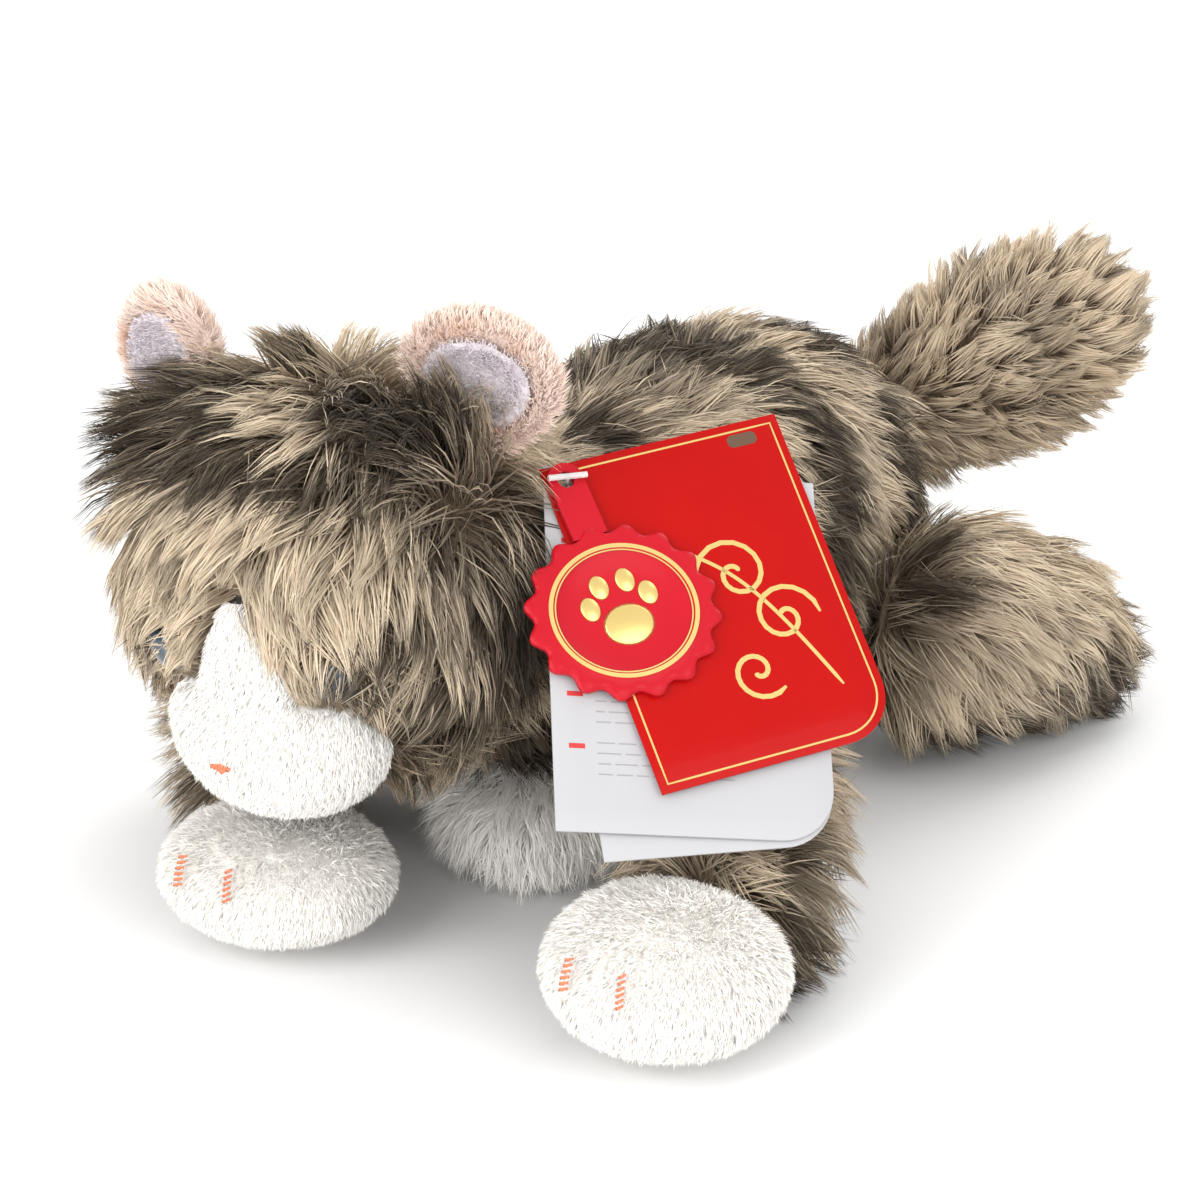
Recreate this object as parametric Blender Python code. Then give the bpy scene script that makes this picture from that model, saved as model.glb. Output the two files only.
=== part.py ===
"""Plush cat lying on its belly, with a set of paper hang tags.

The cat faces -Y, +X is its left side, +Z is up and the floor is z = 0.
Each sewn cover is a shell whose outer face is the mean surface of its pile.
Limbs, head, paws and tail end in round roots, so each turns freely in the cover next to it.
"""

from math import cos, pi, radians, sin

import bmesh
import bpy
from mathutils import Matrix, Vector

MM = 0.001
GAP = 0.4 * MM              # clearance between sewn pieces
JOINT_GAP = 0.8 * MM        # clearance between round faces that turn in each other
SEAM = 0.15 * MM            # half of the gap left along a seam
LONG_PILE = 8 * MM          # cover thickness with long pile
SHORT_PILE = 4 * MM         # cover thickness with short pile

# Torso
TORSO_CENTRE = Vector((0, 38, 62)) * MM
TORSO_RADII = Vector((49, 92, 66)) * MM
TORSO_SQUARENESS = 0.82
BELLY_HALF_WIDTH = 31 * MM
BELLY_TOP = 15 * MM
POUCH_RADII = Vector((26, 48, 7)) * MM
BIB_CENTRE = Vector((14, -50, 20)) * MM
BIB_RADII = Vector((28, 27, 21)) * MM

# Neck and head
NECK = Vector((-3, -45, 80)) * MM
NECK_RADIUS = 36.5 * MM
GUSSET_THICKNESS = 2.6 * MM
COLLAR_THICKNESS = 3 * MM
GUSSET_REACH = radians(90)
COLLAR_REACH = radians(88)
HEAD = Vector((-8, -96, 100)) * MM
HEAD_BULGE = Vector((0, -6, -1)) * MM
HEAD_RADII = Vector((57, 52, 55)) * MM
HEAD_TURN = radians(8)
HEAD_DROOP = radians(24)
HEAD_YAW_RANGE = radians(18)
MUZZLE = Vector((0, -42, -20)) * MM
MUZZLE_RADII = Vector((33, 27, 27)) * MM
CHIN_TOP = -34 * MM
BLAZE_HALF_WIDTH = 26 * MM      # at the middle of the muzzle
BLAZE_TOP_HALF_WIDTH = 3.5 * MM
BLAZE_TOP = 25 * MM
NOSE_RADII = Vector((3.5, 1, 1.8)) * MM
NOSE_HEIGHT = -12 * MM
THREAD_RADIUS = 0.5 * MM
EYE_SPACING = 54 * MM
EYE_HEIGHT = 4 * MM
EYE_RADIUS = 6.5 * MM
EYE_DOME = 4.5 * MM
EYE_DEPTH = 5 * MM          # dome's flat back below the pile surface
EYE_STEM_RADIUS = 1.6 * MM
WASHER_RADIUS = 5 * MM
WASHER_THICKNESS = 1.5 * MM
EAR_OFFSETS = {1: 37 * MM, -1: 42 * MM}        # by side: the cat's left is 1
EAR_BACK = 12 * MM
EAR_RADII = Vector((22, 6, 18)) * MM
EAR_LEANS = {1: radians(26), -1: radians(8)}    # ear's own tilt back up from the head's surface normal
EAR_ROOT_RADIUS = 4.2 * MM
EAR_ROOT_LENGTH = 22 * MM
LINING_THICKNESS = 1.5 * MM

# Front legs
SHOULDER = Vector((52, -28, 48)) * MM
SHOULDER_PLANE = 40 * MM
SHOULDER_RADIUS = 25 * MM
LEFT_ELBOW = Vector((80, -50, 38)) * MM
LEFT_WRIST = Vector((101, -80, 25)) * MM
LEFT_PAW = Vector((105, -113, 21)) * MM
RIGHT_ELBOW = Vector((-70, -56, 35)) * MM
RIGHT_WRIST = Vector((-41, -91, 25)) * MM
RIGHT_PAW = Vector((-13, -121, 18)) * MM
ELBOW_RADIUS = 23 * MM
WRIST_RADIUS = 19 * MM
LEFT_PAW_RADII = Vector((33, 31, 21.5)) * MM
RIGHT_PAW_RADII = Vector((34, 31, 18)) * MM
TOE_STITCH_LENGTH = 9 * MM
TOE_SPACING = 15 * MM
TOE_HEIGHT = 7 * MM         # middle of a toe stitch above the paw's middle

# Hind legs
HIP = Vector((56, 84, 42)) * MM
HIP_PLANE = 46 * MM
HIP_RADIUS = 33 * MM
HIND_KNEE = Vector((68, 112, 34)) * MM
HIND_FOOT = Vector((70, 134, 23)) * MM
KNEE_RADIUS = 28 * MM
HIND_FOOT_RADIUS = 21 * MM

# Tail
TAIL_ROOT = Vector((8, 122, 84)) * MM
TAIL_ROOT_RADIUS = 18 * MM
TAIL_SWING_ROOM = 6 * MM  # the body cover's hole is this much wider than the root
TAIL_MIDDLE = Vector((24, 150, 94)) * MM
TAIL_MIDDLE_RADIUS = 29 * MM
TAIL_END = Vector((44, 170, 108)) * MM
TAIL_END_RADIUS = 27 * MM

# Hang tags
TAG_HOLE = Vector((46, -77, 122)) * MM
TAG_SLOPE = radians(48)
TAG_HEADING = radians(55)
CARD_THICKNESS = 0.7 * MM
CARD_PITCH = 1.2 * MM
CARD_CORNER = 5 * MM        # hole centre to both near edges
HOLE_RADIUS = 2.2 * MM
COVER_SIZE = Vector((65, 89)) * MM
LEAFLET_SIZE = Vector((70, 96)) * MM
BACKING_SIZE = Vector((60, 103)) * MM
CARD_ROUND = 14 * MM
SEAL_RADII = Vector((24, 22)) * MM
SEAL_THICKNESS = 2.2 * MM
SEAL_SCALLOPS = 16
FILAMENT_RADIUS = 0.6 * MM
BAR_LENGTH = 10 * MM

X_AXIS = Vector((1, 0, 0))
Y_AXIS = Vector((0, 1, 0))
Z_AXIS = Vector((0, 0, 1))
ORIGIN = Vector((0, 0, 0))
NO_TURN = Matrix.Identity(3)
HEAD_FRAME = Matrix.Rotation(HEAD_TURN, 3, "Z") @ Matrix.Rotation(HEAD_DROOP, 3, "X")


def material(name, colour, roughness, metallic=0.0):
    """Principled material, made once for each name."""
    if name in bpy.data.materials:
        return bpy.data.materials[name]
    finish = bpy.data.materials.new(name)
    finish.use_nodes = True
    shader = finish.node_tree.nodes["Principled BSDF"]
    shader.inputs["Base Color"].default_value = (*colour, 1)
    shader.inputs["Roughness"].default_value = roughness
    shader.inputs["Metallic"].default_value = metallic
    finish.diffuse_color = (*colour, 1)
    return finish


GREY_FUR = material("grey_fur", (0.42, 0.38, 0.32), 0.95)
WHITE_PLUSH = material("white_plush", (0.86, 0.84, 0.8), 0.95)
PINK_PLUSH = material("pink_plush", (0.72, 0.55, 0.47), 0.95)
LILAC_LINING = material("lilac_lining", (0.55, 0.48, 0.5), 0.95)
FIBRE_FILL = material("fibre_fill", (0.9, 0.9, 0.88), 1.0)
POUCH_CLOTH = material("pouch_cloth", (0.75, 0.75, 0.72), 0.9)
CORAL_THREAD = material("coral_thread", (0.8, 0.32, 0.22), 0.7)
EYE_PLASTIC = material("eye_plastic", (0.12, 0.17, 0.24), 0.1)
WASHER_PLASTIC = material("washer_plastic", (0.85, 0.85, 0.85), 0.4)
RED_CARD = material("red_card", (0.75, 0.02, 0.02), 0.2)
WHITE_PAPER = material("white_paper", (0.9, 0.9, 0.9), 0.6)
RED_SEAL = material("red_seal", (0.8, 0.03, 0.05), 0.35)
GOLD_FOIL = material("gold_foil", (0.8, 0.6, 0.2), 0.25, 1.0)
CLEAR_PLASTIC = material("clear_plastic", (0.9, 0.9, 0.9), 0.2)


def empty(name, place, parent=None):
    """Pivot that the pieces of one moving group hang from."""
    pivot = bpy.data.objects.new(name, None)
    bpy.context.collection.objects.link(pivot)
    pivot.location = place
    if parent:
        pivot.location = place - world_place(parent)
        pivot.parent = parent
    return pivot


def world_place(pivot):
    """Place of an unturned pivot, added up along its parents."""
    place = pivot.location.copy()
    while pivot.parent:
        pivot = pivot.parent
        place += pivot.location
    return place


def piece(name, bm, finish, pivot=None):
    """Named object made from a bmesh in world coordinates, with its origin at its pivot."""
    origin = world_place(pivot) if pivot else ORIGIN
    bmesh.ops.translate(bm, verts=bm.verts, vec=-origin)
    bmesh.ops.recalc_face_normals(bm, faces=bm.faces)
    mesh = bpy.data.meshes.new(name)
    bm.to_mesh(mesh)
    bm.free()
    mesh.materials.append(finish)
    mesh.shade_smooth()
    mesh.set_sharp_from_angle(angle=radians(35))
    thing = bpy.data.objects.new(name, mesh)
    bpy.context.collection.objects.link(thing)
    if pivot:
        thing.parent = pivot
    return thing


def combine(thing, operation, *meshes):
    """Boolean the object with hidden guide solids given as bmeshes in world coordinates."""
    for number, bm in enumerate(meshes):
        guide = piece(f"guide_{thing.name}_{operation.lower()}_{number}", bm, FIBRE_FILL)
        guide.hide_render = True
        guide.display_type = "WIRE"
        boolean = thing.modifiers.new(guide.name, "BOOLEAN")
        boolean.operation = operation
        boolean.object = guide
    return thing


def cut(thing, *meshes):
    return combine(thing, "DIFFERENCE", *meshes)


def join(thing, *meshes):
    return combine(thing, "UNION", *meshes)


def keep(thing, *meshes):
    return combine(thing, "INTERSECT", *meshes)


def trim(bm, place, direction):
    """Cut away what lies past a plane, along its direction, and close the cut with one flat face."""
    geometry = bm.verts[:] + bm.edges[:] + bm.faces[:]
    result = bmesh.ops.bisect_plane(
        bm, geom=geometry, plane_co=place, plane_no=direction, clear_outer=True
    )
    edges = [item for item in result["geom_cut"] if isinstance(item, bmesh.types.BMEdge)]
    bmesh.ops.edgeloop_fill(bm, edges=edges)
    return bm


def floor_trim(bm, height=0.0):
    """Flatten the underside where a soft piece rests."""
    return trim(bm, Z_AXIS * height, -Z_AXIS)


def blob(centre, radii, turn=NO_TURN, softness=1.0, segments=16, rings=10):
    """Egg shape: a unit sphere, squarer where softness is under 1, stretched to its radii."""
    bm = bmesh.new()
    bmesh.ops.create_uvsphere(bm, u_segments=segments, v_segments=rings, radius=1)
    for vert in bm.verts:
        place = Vector((0, 0, 0))
        for axis in range(3):
            reach = abs(vert.co[axis]) ** softness * radii[axis]
            place[axis] = reach if vert.co[axis] >= 0 else -reach
        vert.co = centre + turn @ place
    return bm


def smaller(radii, inset):
    return Vector(radius - inset for radius in radii)


def smooth_route(stations, steps):
    """Catmull-Rom curve through (x, y, z, radius) stations."""
    first = stations[0] * 2 - stations[1]
    last = stations[-1] * 2 - stations[-2]
    knots = [first] + stations + [last]
    route = []
    for index in range(1, len(knots) - 2):
        before, start, end, after = knots[index - 1:index + 3]
        for step in range(steps):
            t = step / steps
            point = start * 2 + (end - before) * t
            point += (before * 2 - start * 5 + end * 4 - after) * t ** 2
            point += (start * 3 - before - end * 3 + after) * t ** 3
            route.append(point / 2)
    route.append(stations[-1].copy())
    return route


def sausage(places, radii, inset=0.0, segments=14, steps=2, cap_steps=3):
    """Round-ended stuffed limb along a curve through the places."""
    stations = [Vector((*place, radius)) for place, radius in zip(places, radii)]
    route = smooth_route(stations, steps)
    rings = []
    for index, station in enumerate(route):
        ahead = route[min(index + 1, len(route) - 1)].to_3d()
        behind = route[max(index - 1, 0)].to_3d()
        rings.append((station.to_3d(), (ahead - behind).normalized(), station[3] - inset))
    start, end = rings[0], rings[-1]
    lead = []
    tail = []
    for step in range(1, cap_steps):
        angle = step * pi / 2 / cap_steps
        lead.insert(0, (start[0] - start[1] * start[2] * sin(angle), start[1], start[2] * cos(angle)))
        tail.append((end[0] + end[1] * end[2] * sin(angle), end[1], end[2] * cos(angle)))
    bm = bmesh.new()
    loops = []
    for centre, along, radius in lead + rings + tail:
        side = along.cross(Z_AXIS).normalized()
        up = side.cross(along)
        loop = []
        for segment in range(segments):
            angle = 2 * pi * segment / segments
            loop.append(bm.verts.new(centre + (side * cos(angle) + up * sin(angle)) * radius))
        loops.append(loop)
    for near, far in zip(loops, loops[1:]):
        for segment in range(segments):
            follow = (segment + 1) % segments
            bm.faces.new((near[segment], near[follow], far[follow], far[segment]))
    start_tip = bm.verts.new(start[0] - start[1] * start[2])
    end_tip = bm.verts.new(end[0] + end[1] * end[2])
    for segment in range(segments):
        follow = (segment + 1) % segments
        bm.faces.new((start_tip, loops[0][follow], loops[0][segment]))
        bm.faces.new((end_tip, loops[-1][segment], loops[-1][follow]))
    return bm


def box(low, high, turn=NO_TURN, centre=ORIGIN):
    """Block between two corners, turned about a centre."""
    bm = bmesh.new()
    bmesh.ops.create_cube(bm, size=1)
    for vert in bm.verts:
        spot = Vector((
            low[axis] if vert.co[axis] < 0 else high[axis] for axis in range(3)
        ))
        vert.co = centre + turn @ spot
    return bm


def rod(start, end, radius, segments=10):
    """Straight round bar between two points."""
    bm = bmesh.new()
    bmesh.ops.create_cone(
        bm, cap_ends=True, segments=segments, radius1=radius, radius2=radius, depth=(end - start).length
    )
    turn = (end - start).to_track_quat("Z", "Y").to_matrix()
    for vert in bm.verts:
        vert.co = (start + end) / 2 + turn @ vert.co
    return bm


def shell_cap(centre, inner, outer, reach, along, rings=6, segments=24):
    """Bowl between two spheres, out to an angle from its axis."""
    turn = along.to_track_quat("Z", "Y").to_matrix()
    bm = bmesh.new()
    grids = []
    for radius in (outer, inner):
        loops = []
        for ring in range(1, rings + 1):
            tilt = reach * ring / rings
            loop = []
            for segment in range(segments):
                angle = 2 * pi * segment / segments
                spot = Vector((sin(tilt) * cos(angle), sin(tilt) * sin(angle), cos(tilt)))
                loop.append(bm.verts.new(centre + turn @ spot * radius))
            loops.append(loop)
        pole = bm.verts.new(centre + turn @ Z_AXIS * radius)
        grids.append((pole, loops))
    for pole, loops in grids:
        for segment in range(segments):
            follow = (segment + 1) % segments
            bm.faces.new((pole, loops[0][segment], loops[0][follow]))
            for near, far in zip(loops, loops[1:]):
                bm.faces.new((near[segment], far[segment], far[follow], near[follow]))
    rim_out, rim_in = grids[0][1][-1], grids[1][1][-1]
    for segment in range(segments):
        follow = (segment + 1) % segments
        bm.faces.new((rim_out[segment], rim_in[segment], rim_in[follow], rim_out[follow]))
    return bm


def mirrored(place, side):
    return Vector((place.x * side, place.y, place.z))


# --- torso -------------------------------------------------------------------------------------

def ball(centre, radius, segments=16, rings=10):
    return blob(centre, Vector((radius, radius, radius)), segments=segments, rings=rings)


def torso_solid(inset, floor):
    radii = smaller(TORSO_RADII, inset)
    bm = blob(TORSO_CENTRE, radii, softness=TORSO_SQUARENESS, segments=18, rings=10)
    return floor_trim(bm, floor)


def belly_zone(margin):
    """Block that holds the white belly, grown by a margin."""
    reach = 0.72 * TORSO_RADII.y
    low = Vector((-BELLY_HALF_WIDTH - margin, TORSO_CENTRE.y - reach - margin, -BELLY_TOP))
    high = Vector((BELLY_HALF_WIDTH + margin, TORSO_CENTRE.y + reach + margin, BELLY_TOP + margin))
    return box(low, high)


def leg_sockets(margin):
    """Flat-bottomed sockets in the flanks that the legs swing in."""
    sockets = []
    for side in (-1, 1):
        for hinge, plane, radius in (
            (SHOULDER, SHOULDER_PLANE, SHOULDER_RADIUS), (HIP, HIP_PLANE, HIP_RADIUS)
        ):
            start = mirrored(Vector((plane - margin, hinge.y, hinge.z)), side)
            end = mirrored(Vector((TORSO_RADII.x + plane, hinge.y, hinge.z)), side)
            sockets.append(rod(start, end, radius + 2 * GAP + margin, segments=24))
    return sockets


def neck_ball(radius):
    return ball(NECK, radius, segments=24, rings=12)


def neck_forward():
    """Direction from the neck's centre to the head's."""
    return (HEAD - NECK).normalized()


def make_torso():
    gusset_outside = NECK_RADIUS + JOINT_GAP + GUSSET_THICKNESS
    collar_inside = gusset_outside + JOINT_GAP
    collar_outside = collar_inside + COLLAR_THICKNESS
    tail_socket_radius = TAIL_ROOT_RADIUS + JOINT_GAP
    bib_room = smaller(BIB_RADII, -GAP)

    cover = piece("body_fur_cover", torso_solid(0, 0), GREY_FUR)
    join(cover, neck_ball(collar_outside))
    cut(cover, torso_solid(LONG_PILE, LONG_PILE), neck_ball(collar_inside), head_space(NECK_RADIUS),
        belly_zone(SEAM), ball(TAIL_ROOT, TAIL_ROOT_RADIUS + TAIL_SWING_ROOM, 12, 8),
        blob(BIB_CENTRE, bib_room),
        *leg_sockets(0))

    belly = piece("belly_panel", torso_solid(0, 0), WHITE_PLUSH)
    cut(belly, torso_solid(SHORT_PILE, SHORT_PILE), blob(BIB_CENTRE, bib_room))
    keep(belly, belly_zone(-SEAM))

    pouch_centre = Vector((TORSO_CENTRE.x, TORSO_CENTRE.y, SHORT_PILE + GAP + POUCH_RADII.z))
    gusset_space = shell_cap(
        NECK, NECK_RADIUS, collar_inside, GUSSET_REACH + HEAD_YAW_RANGE + radians(3), neck_forward()
    )
    stuffing = piece("body_stuffing", torso_solid(LONG_PILE + GAP, LONG_PILE + GAP), FIBRE_FILL)
    join(stuffing, neck_ball(NECK_RADIUS))
    cut(stuffing, blob(pouch_centre, smaller(POUCH_RADII, -GAP)), *leg_sockets(GAP), gusset_space,
        head_space(gusset_outside), ball(TAIL_ROOT, tail_socket_radius), blob(BIB_CENTRE, bib_room))
    piece("pellet_pouch", blob(pouch_centre, POUCH_RADII), POUCH_CLOTH)

    bib = piece("chest_bib", floor_trim(blob(BIB_CENTRE, BIB_RADII)), WHITE_PLUSH)
    cut(bib, neck_ball(collar_outside + GAP))


def head_space(start):
    """Room in front of the neck that the head swings through, from a radius outwards."""
    return shell_cap(NECK, start, NECK_RADIUS + 8 * COLLAR_THICKNESS, COLLAR_REACH, neck_forward())


# --- head --------------------------------------------------------------------------------------

def head_place(local):
    return HEAD + HEAD_FRAME @ local


def head_solid(inset, segments=18, rings=10):
    centre = head_place(HEAD_BULGE)
    return blob(centre, smaller(HEAD_RADII, inset), HEAD_FRAME, segments=segments, rings=rings)


def muzzle_solid(inset):
    return blob(head_place(MUZZLE), smaller(MUZZLE_RADII, inset), HEAD_FRAME, segments=16, rings=10)


def on_egg(x, z, centre, radii, front=-1):
    """Point of an egg's front, and its outward normal, in head coordinates."""
    across = (x - centre.x) / radii.x
    height = (z - centre.z) / radii.z
    depth = (1 - across ** 2 - height ** 2) ** 0.5 * front
    point = Vector((x, centre.y + depth * radii.y, z))
    normal = Vector((across / radii.x, depth / radii.y, height / radii.z)).normalized()
    return point, normal


def blaze_zone(margin):
    """Wedge between the eyes that holds the white blaze, grown by a margin."""
    top, foot = BLAZE_TOP + margin, MUZZLE.z
    bm = bmesh.new()
    corners = []
    for depth in (HEAD_BULGE.y - 2 * HEAD_RADII.y, HEAD_BULGE.y - HEAD_RADII.y / 3):
        corners.append([
            bm.verts.new(head_place(Vector((across, depth, height)))) for across, height in (
                (-BLAZE_HALF_WIDTH - margin, foot), (BLAZE_HALF_WIDTH + margin, foot),
                (BLAZE_TOP_HALF_WIDTH + margin, top), (-BLAZE_TOP_HALF_WIDTH - margin, top)
            )
        ])
    near, far = corners
    bm.faces.new(near)
    bm.faces.new(reversed(far))
    for index in range(4):
        follow = (index + 1) % 4
        bm.faces.new((near[index], far[index], far[follow], near[follow]))
    bmesh.ops.recalc_face_normals(bm, faces=bm.faces)
    return bm


def chin_zone(margin):
    """Block under the mouth line."""
    reach = 2 * HEAD_RADII.x
    low = Vector((-reach, -reach * 2, -reach))
    high = Vector((reach, reach, CHIN_TOP + margin))
    return box(low, high, HEAD_FRAME, HEAD)


def turned(profile, centre, along, segments=10):
    """Solid of revolution from (radius, height) points: ends at radius 0, or a closed ring."""
    turn = along.to_track_quat("Z", "Y").to_matrix()
    bm = bmesh.new()
    loops = []
    for radius, height in profile:
        if radius == 0:
            loops.append([bm.verts.new(centre + turn @ Vector((0, 0, height)))] * segments)
            continue
        loops.append([
            bm.verts.new(centre + turn @ Vector((
                radius * cos(2 * pi * step / segments), radius * sin(2 * pi * step / segments), height
            ))) for step in range(segments)
        ])
    closed = profile[0][0] > 0
    pairs = list(zip(loops, loops[1:])) + ([(loops[-1], loops[0])] if closed else [])
    for near, far in pairs:
        for step in range(segments):
            follow = (step + 1) % segments
            corners = dict.fromkeys((near[step], near[follow], far[follow], far[step]))
            bm.faces.new(list(corners))
    return bm


def eye_pose(side):
    """Seat and outward direction of an eye, in the world."""
    point, normal = on_egg(side * EYE_SPACING / 2, EYE_HEIGHT, HEAD_BULGE, HEAD_RADII)
    outward = HEAD_FRAME @ normal
    return head_place(point) - outward * EYE_DEPTH, outward


def make_eyes(head_pivot):
    stem_end = LONG_PILE - EYE_DEPTH + 2 * GAP + 2 * WASHER_THICKNESS
    washer_top = LONG_PILE - EYE_DEPTH + GAP
    for side, word in ((1, "left"), (-1, "right")):
        seat, outward = eye_pose(side)
        dome = [(0, EYE_DOME)]
        dome += [(EYE_RADIUS * sin(a), EYE_DOME * cos(a)) for a in (radians(25), radians(50), radians(75))]
        dome += [(EYE_RADIUS, 0), (EYE_STEM_RADIUS, 0), (EYE_STEM_RADIUS, -stem_end), (0, -stem_end)]
        piece(f"eye_{word}", turned(dome, seat, outward), EYE_PLASTIC, head_pivot)
        hole = EYE_STEM_RADIUS + GAP / 2
        washer = [
            (hole, -washer_top), (WASHER_RADIUS, -washer_top),
            (WASHER_RADIUS, -washer_top - WASHER_THICKNESS), (hole, -washer_top - WASHER_THICKNESS)
        ]
        piece(f"eye_washer_{word}", turned(washer, seat, outward), WASHER_PLASTIC, head_pivot)


def eye_cutters():
    """Recess for each dome, the hole for its stem, and the flat seat for its washer."""
    cutters = []
    for side in (1, -1):
        seat, outward = eye_pose(side)
        cutters.append(rod(seat - outward * GAP, seat + outward * EYE_DEPTH * 3, EYE_RADIUS + GAP, 12))
        cutters.append(rod(seat - outward * LONG_PILE * 2, seat, EYE_STEM_RADIUS + GAP, 8))
        web = outward * (LONG_PILE - EYE_DEPTH)
        cutters.append(rod(seat - outward * LONG_PILE * 2, seat - web, WASHER_RADIUS + GAP, 12))
    return cutters


def washer_cutters():
    cutters = []
    for side in (1, -1):
        seat, outward = eye_pose(side)
        depth = LONG_PILE - EYE_DEPTH + 3 * GAP + 2 * WASHER_THICKNESS
        cutters.append(rod(seat - outward * depth, seat + outward * EYE_DEPTH, WASHER_RADIUS + GAP, 12))
    return cutters


def make_head(head_pivot):
    bowl_radius = NECK_RADIUS + 2 * JOINT_GAP + GUSSET_THICKNESS

    cover = piece("head_fur_cover", head_solid(0), GREY_FUR, head_pivot)
    cut(cover, head_solid(LONG_PILE), muzzle_solid(-GAP), blaze_zone(SEAM), neck_ball(bowl_radius),
        *eye_cutters(), *tag_cutters())

    blaze = piece("blaze_panel", head_solid(0), WHITE_PLUSH, head_pivot)
    keep(blaze, blaze_zone(-SEAM))
    cut(blaze, head_solid(LONG_PILE), muzzle_solid(-GAP))

    muzzle = piece("muzzle_panel", muzzle_solid(0), WHITE_PLUSH, head_pivot)
    cut(muzzle, muzzle_solid(SHORT_PILE), head_solid(LONG_PILE - GAP), chin_zone(SEAM), *eye_cutters())
    chin = piece("chin_panel", muzzle_solid(0), WHITE_PLUSH, head_pivot)
    cut(chin, muzzle_solid(SHORT_PILE), head_solid(LONG_PILE - GAP))
    keep(chin, chin_zone(-SEAM))

    stuffing = piece("head_stuffing", head_solid(LONG_PILE + GAP), FIBRE_FILL, head_pivot)
    join(stuffing, muzzle_solid(SHORT_PILE + GAP))
    cut(stuffing, neck_ball(bowl_radius), *washer_cutters(), *tag_cutters())

    make_eyes(head_pivot)
    nose_point, nose_out = on_egg(0, NOSE_HEIGHT, MUZZLE, MUZZLE_RADII)
    nose_turn = HEAD_FRAME
    nose = blob(head_place(nose_point + nose_out * (NOSE_RADII.y + GAP)), NOSE_RADII, nose_turn,
                segments=12, rings=8)
    piece("nose_stitching", nose, CORAL_THREAD, head_pivot)


# --- neck --------------------------------------------------------------------------------------

def make_neck(neck_pivot):
    inside = NECK_RADIUS + JOINT_GAP
    gusset = shell_cap(NECK, inside, inside + GUSSET_THICKNESS, GUSSET_REACH, neck_forward())
    piece("neck_gusset", gusset, WHITE_PLUSH, neck_pivot)


# --- ears --------------------------------------------------------------------------------------

def ear_frame(side):
    """Root place, hinge axis, and the ear's side, front and up directions, in the world."""
    x = EAR_OFFSETS[side]
    lean = EAR_LEANS[side]
    y = EAR_BACK
    rise = 1 - (x / HEAD_RADII.x) ** 2 - ((y - HEAD_BULGE.y) / HEAD_RADII.y) ** 2
    z = HEAD_BULGE.z + HEAD_RADII.z * rise ** 0.5
    normal = Vector((
        x / HEAD_RADII.x ** 2, (y - HEAD_BULGE.y) / HEAD_RADII.y ** 2, (z - HEAD_BULGE.z) / HEAD_RADII.z ** 2
    )).normalized()
    hinge = normal.cross(Y_AXIS).normalized()
    front = hinge.cross(normal)
    up = Matrix.Rotation(lean, 3, front) @ normal
    if up.z < normal.z:
        up = Matrix.Rotation(-lean, 3, front) @ normal
    across = up.cross(front)
    flip = Matrix.Diagonal((side, 1, 1))
    root = flip @ (Vector((x, y, z)) + normal * EAR_ROOT_RADIUS)
    vectors = [HEAD_FRAME @ flip @ direction for direction in (normal, hinge, front, up, across)]
    return [head_place(root)] + vectors


def make_ear(side, word, ear_pivot):
    root, normal, hinge, front, up, across = ear_frame(side)
    if front.y > 0:
        front = -front
    turn = Matrix((across, -front, up)).transposed()
    centre = root + up * (EAR_RADII.z * 0.65)
    outer = trim(blob(centre, EAR_RADII, turn, segments=14, rings=8), root, -normal)
    ear = piece(f"ear_{word}", outer, PINK_PLUSH, ear_pivot)
    half = hinge * (EAR_ROOT_LENGTH / 2)
    join(ear, rod(root - half, root + half, EAR_ROOT_RADIUS, 10))
    scoop_radii = Vector((EAR_RADII.x * 0.72, EAR_RADII.y, EAR_RADII.z * 0.7))
    scoop_centre = centre + front * EAR_RADII.y
    cut(ear, blob(scoop_centre, scoop_radii, turn, segments=12, rings=8))
    lining = blob(scoop_centre, smaller(scoop_radii, GAP), turn, segments=12, rings=8)
    lining = piece(f"ear_lining_{word}", lining, LILAC_LINING, ear_pivot)
    keep(lining, blob(centre, smaller(EAR_RADII, GAP), turn, segments=14, rings=8))
    cut(lining, blob(scoop_centre + front * LINING_THICKNESS, smaller(scoop_radii, GAP), turn,
                     segments=12, rings=8))


# --- legs --------------------------------------------------------------------------------------

def root_plane(side, plane, margin):
    """Plane that a leg's root lies against, as a place and the direction to cut away."""
    return Vector((side * (plane + margin), 0, 0)), Vector((-side, 0, 0))


def limb(name, places, radii, side, plane, pivot):
    """Fur cover, open at its root, and the stuffing in it."""
    outer = trim(sausage(places, radii), *root_plane(side, plane, GAP))
    cover = piece(f"{name}_fur_cover", floor_trim(outer), GREY_FUR, pivot)
    inner = trim(sausage(places, radii, LONG_PILE), *root_plane(side, plane, -GAP))
    cut(cover, floor_trim(inner, LONG_PILE))
    fill = trim(sausage(places, radii, LONG_PILE + 2 * GAP), *root_plane(side, plane, 2 * GAP))
    piece(f"{name}_stuffing", floor_trim(fill, LONG_PILE + 2 * GAP), FIBRE_FILL, pivot)


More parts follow.
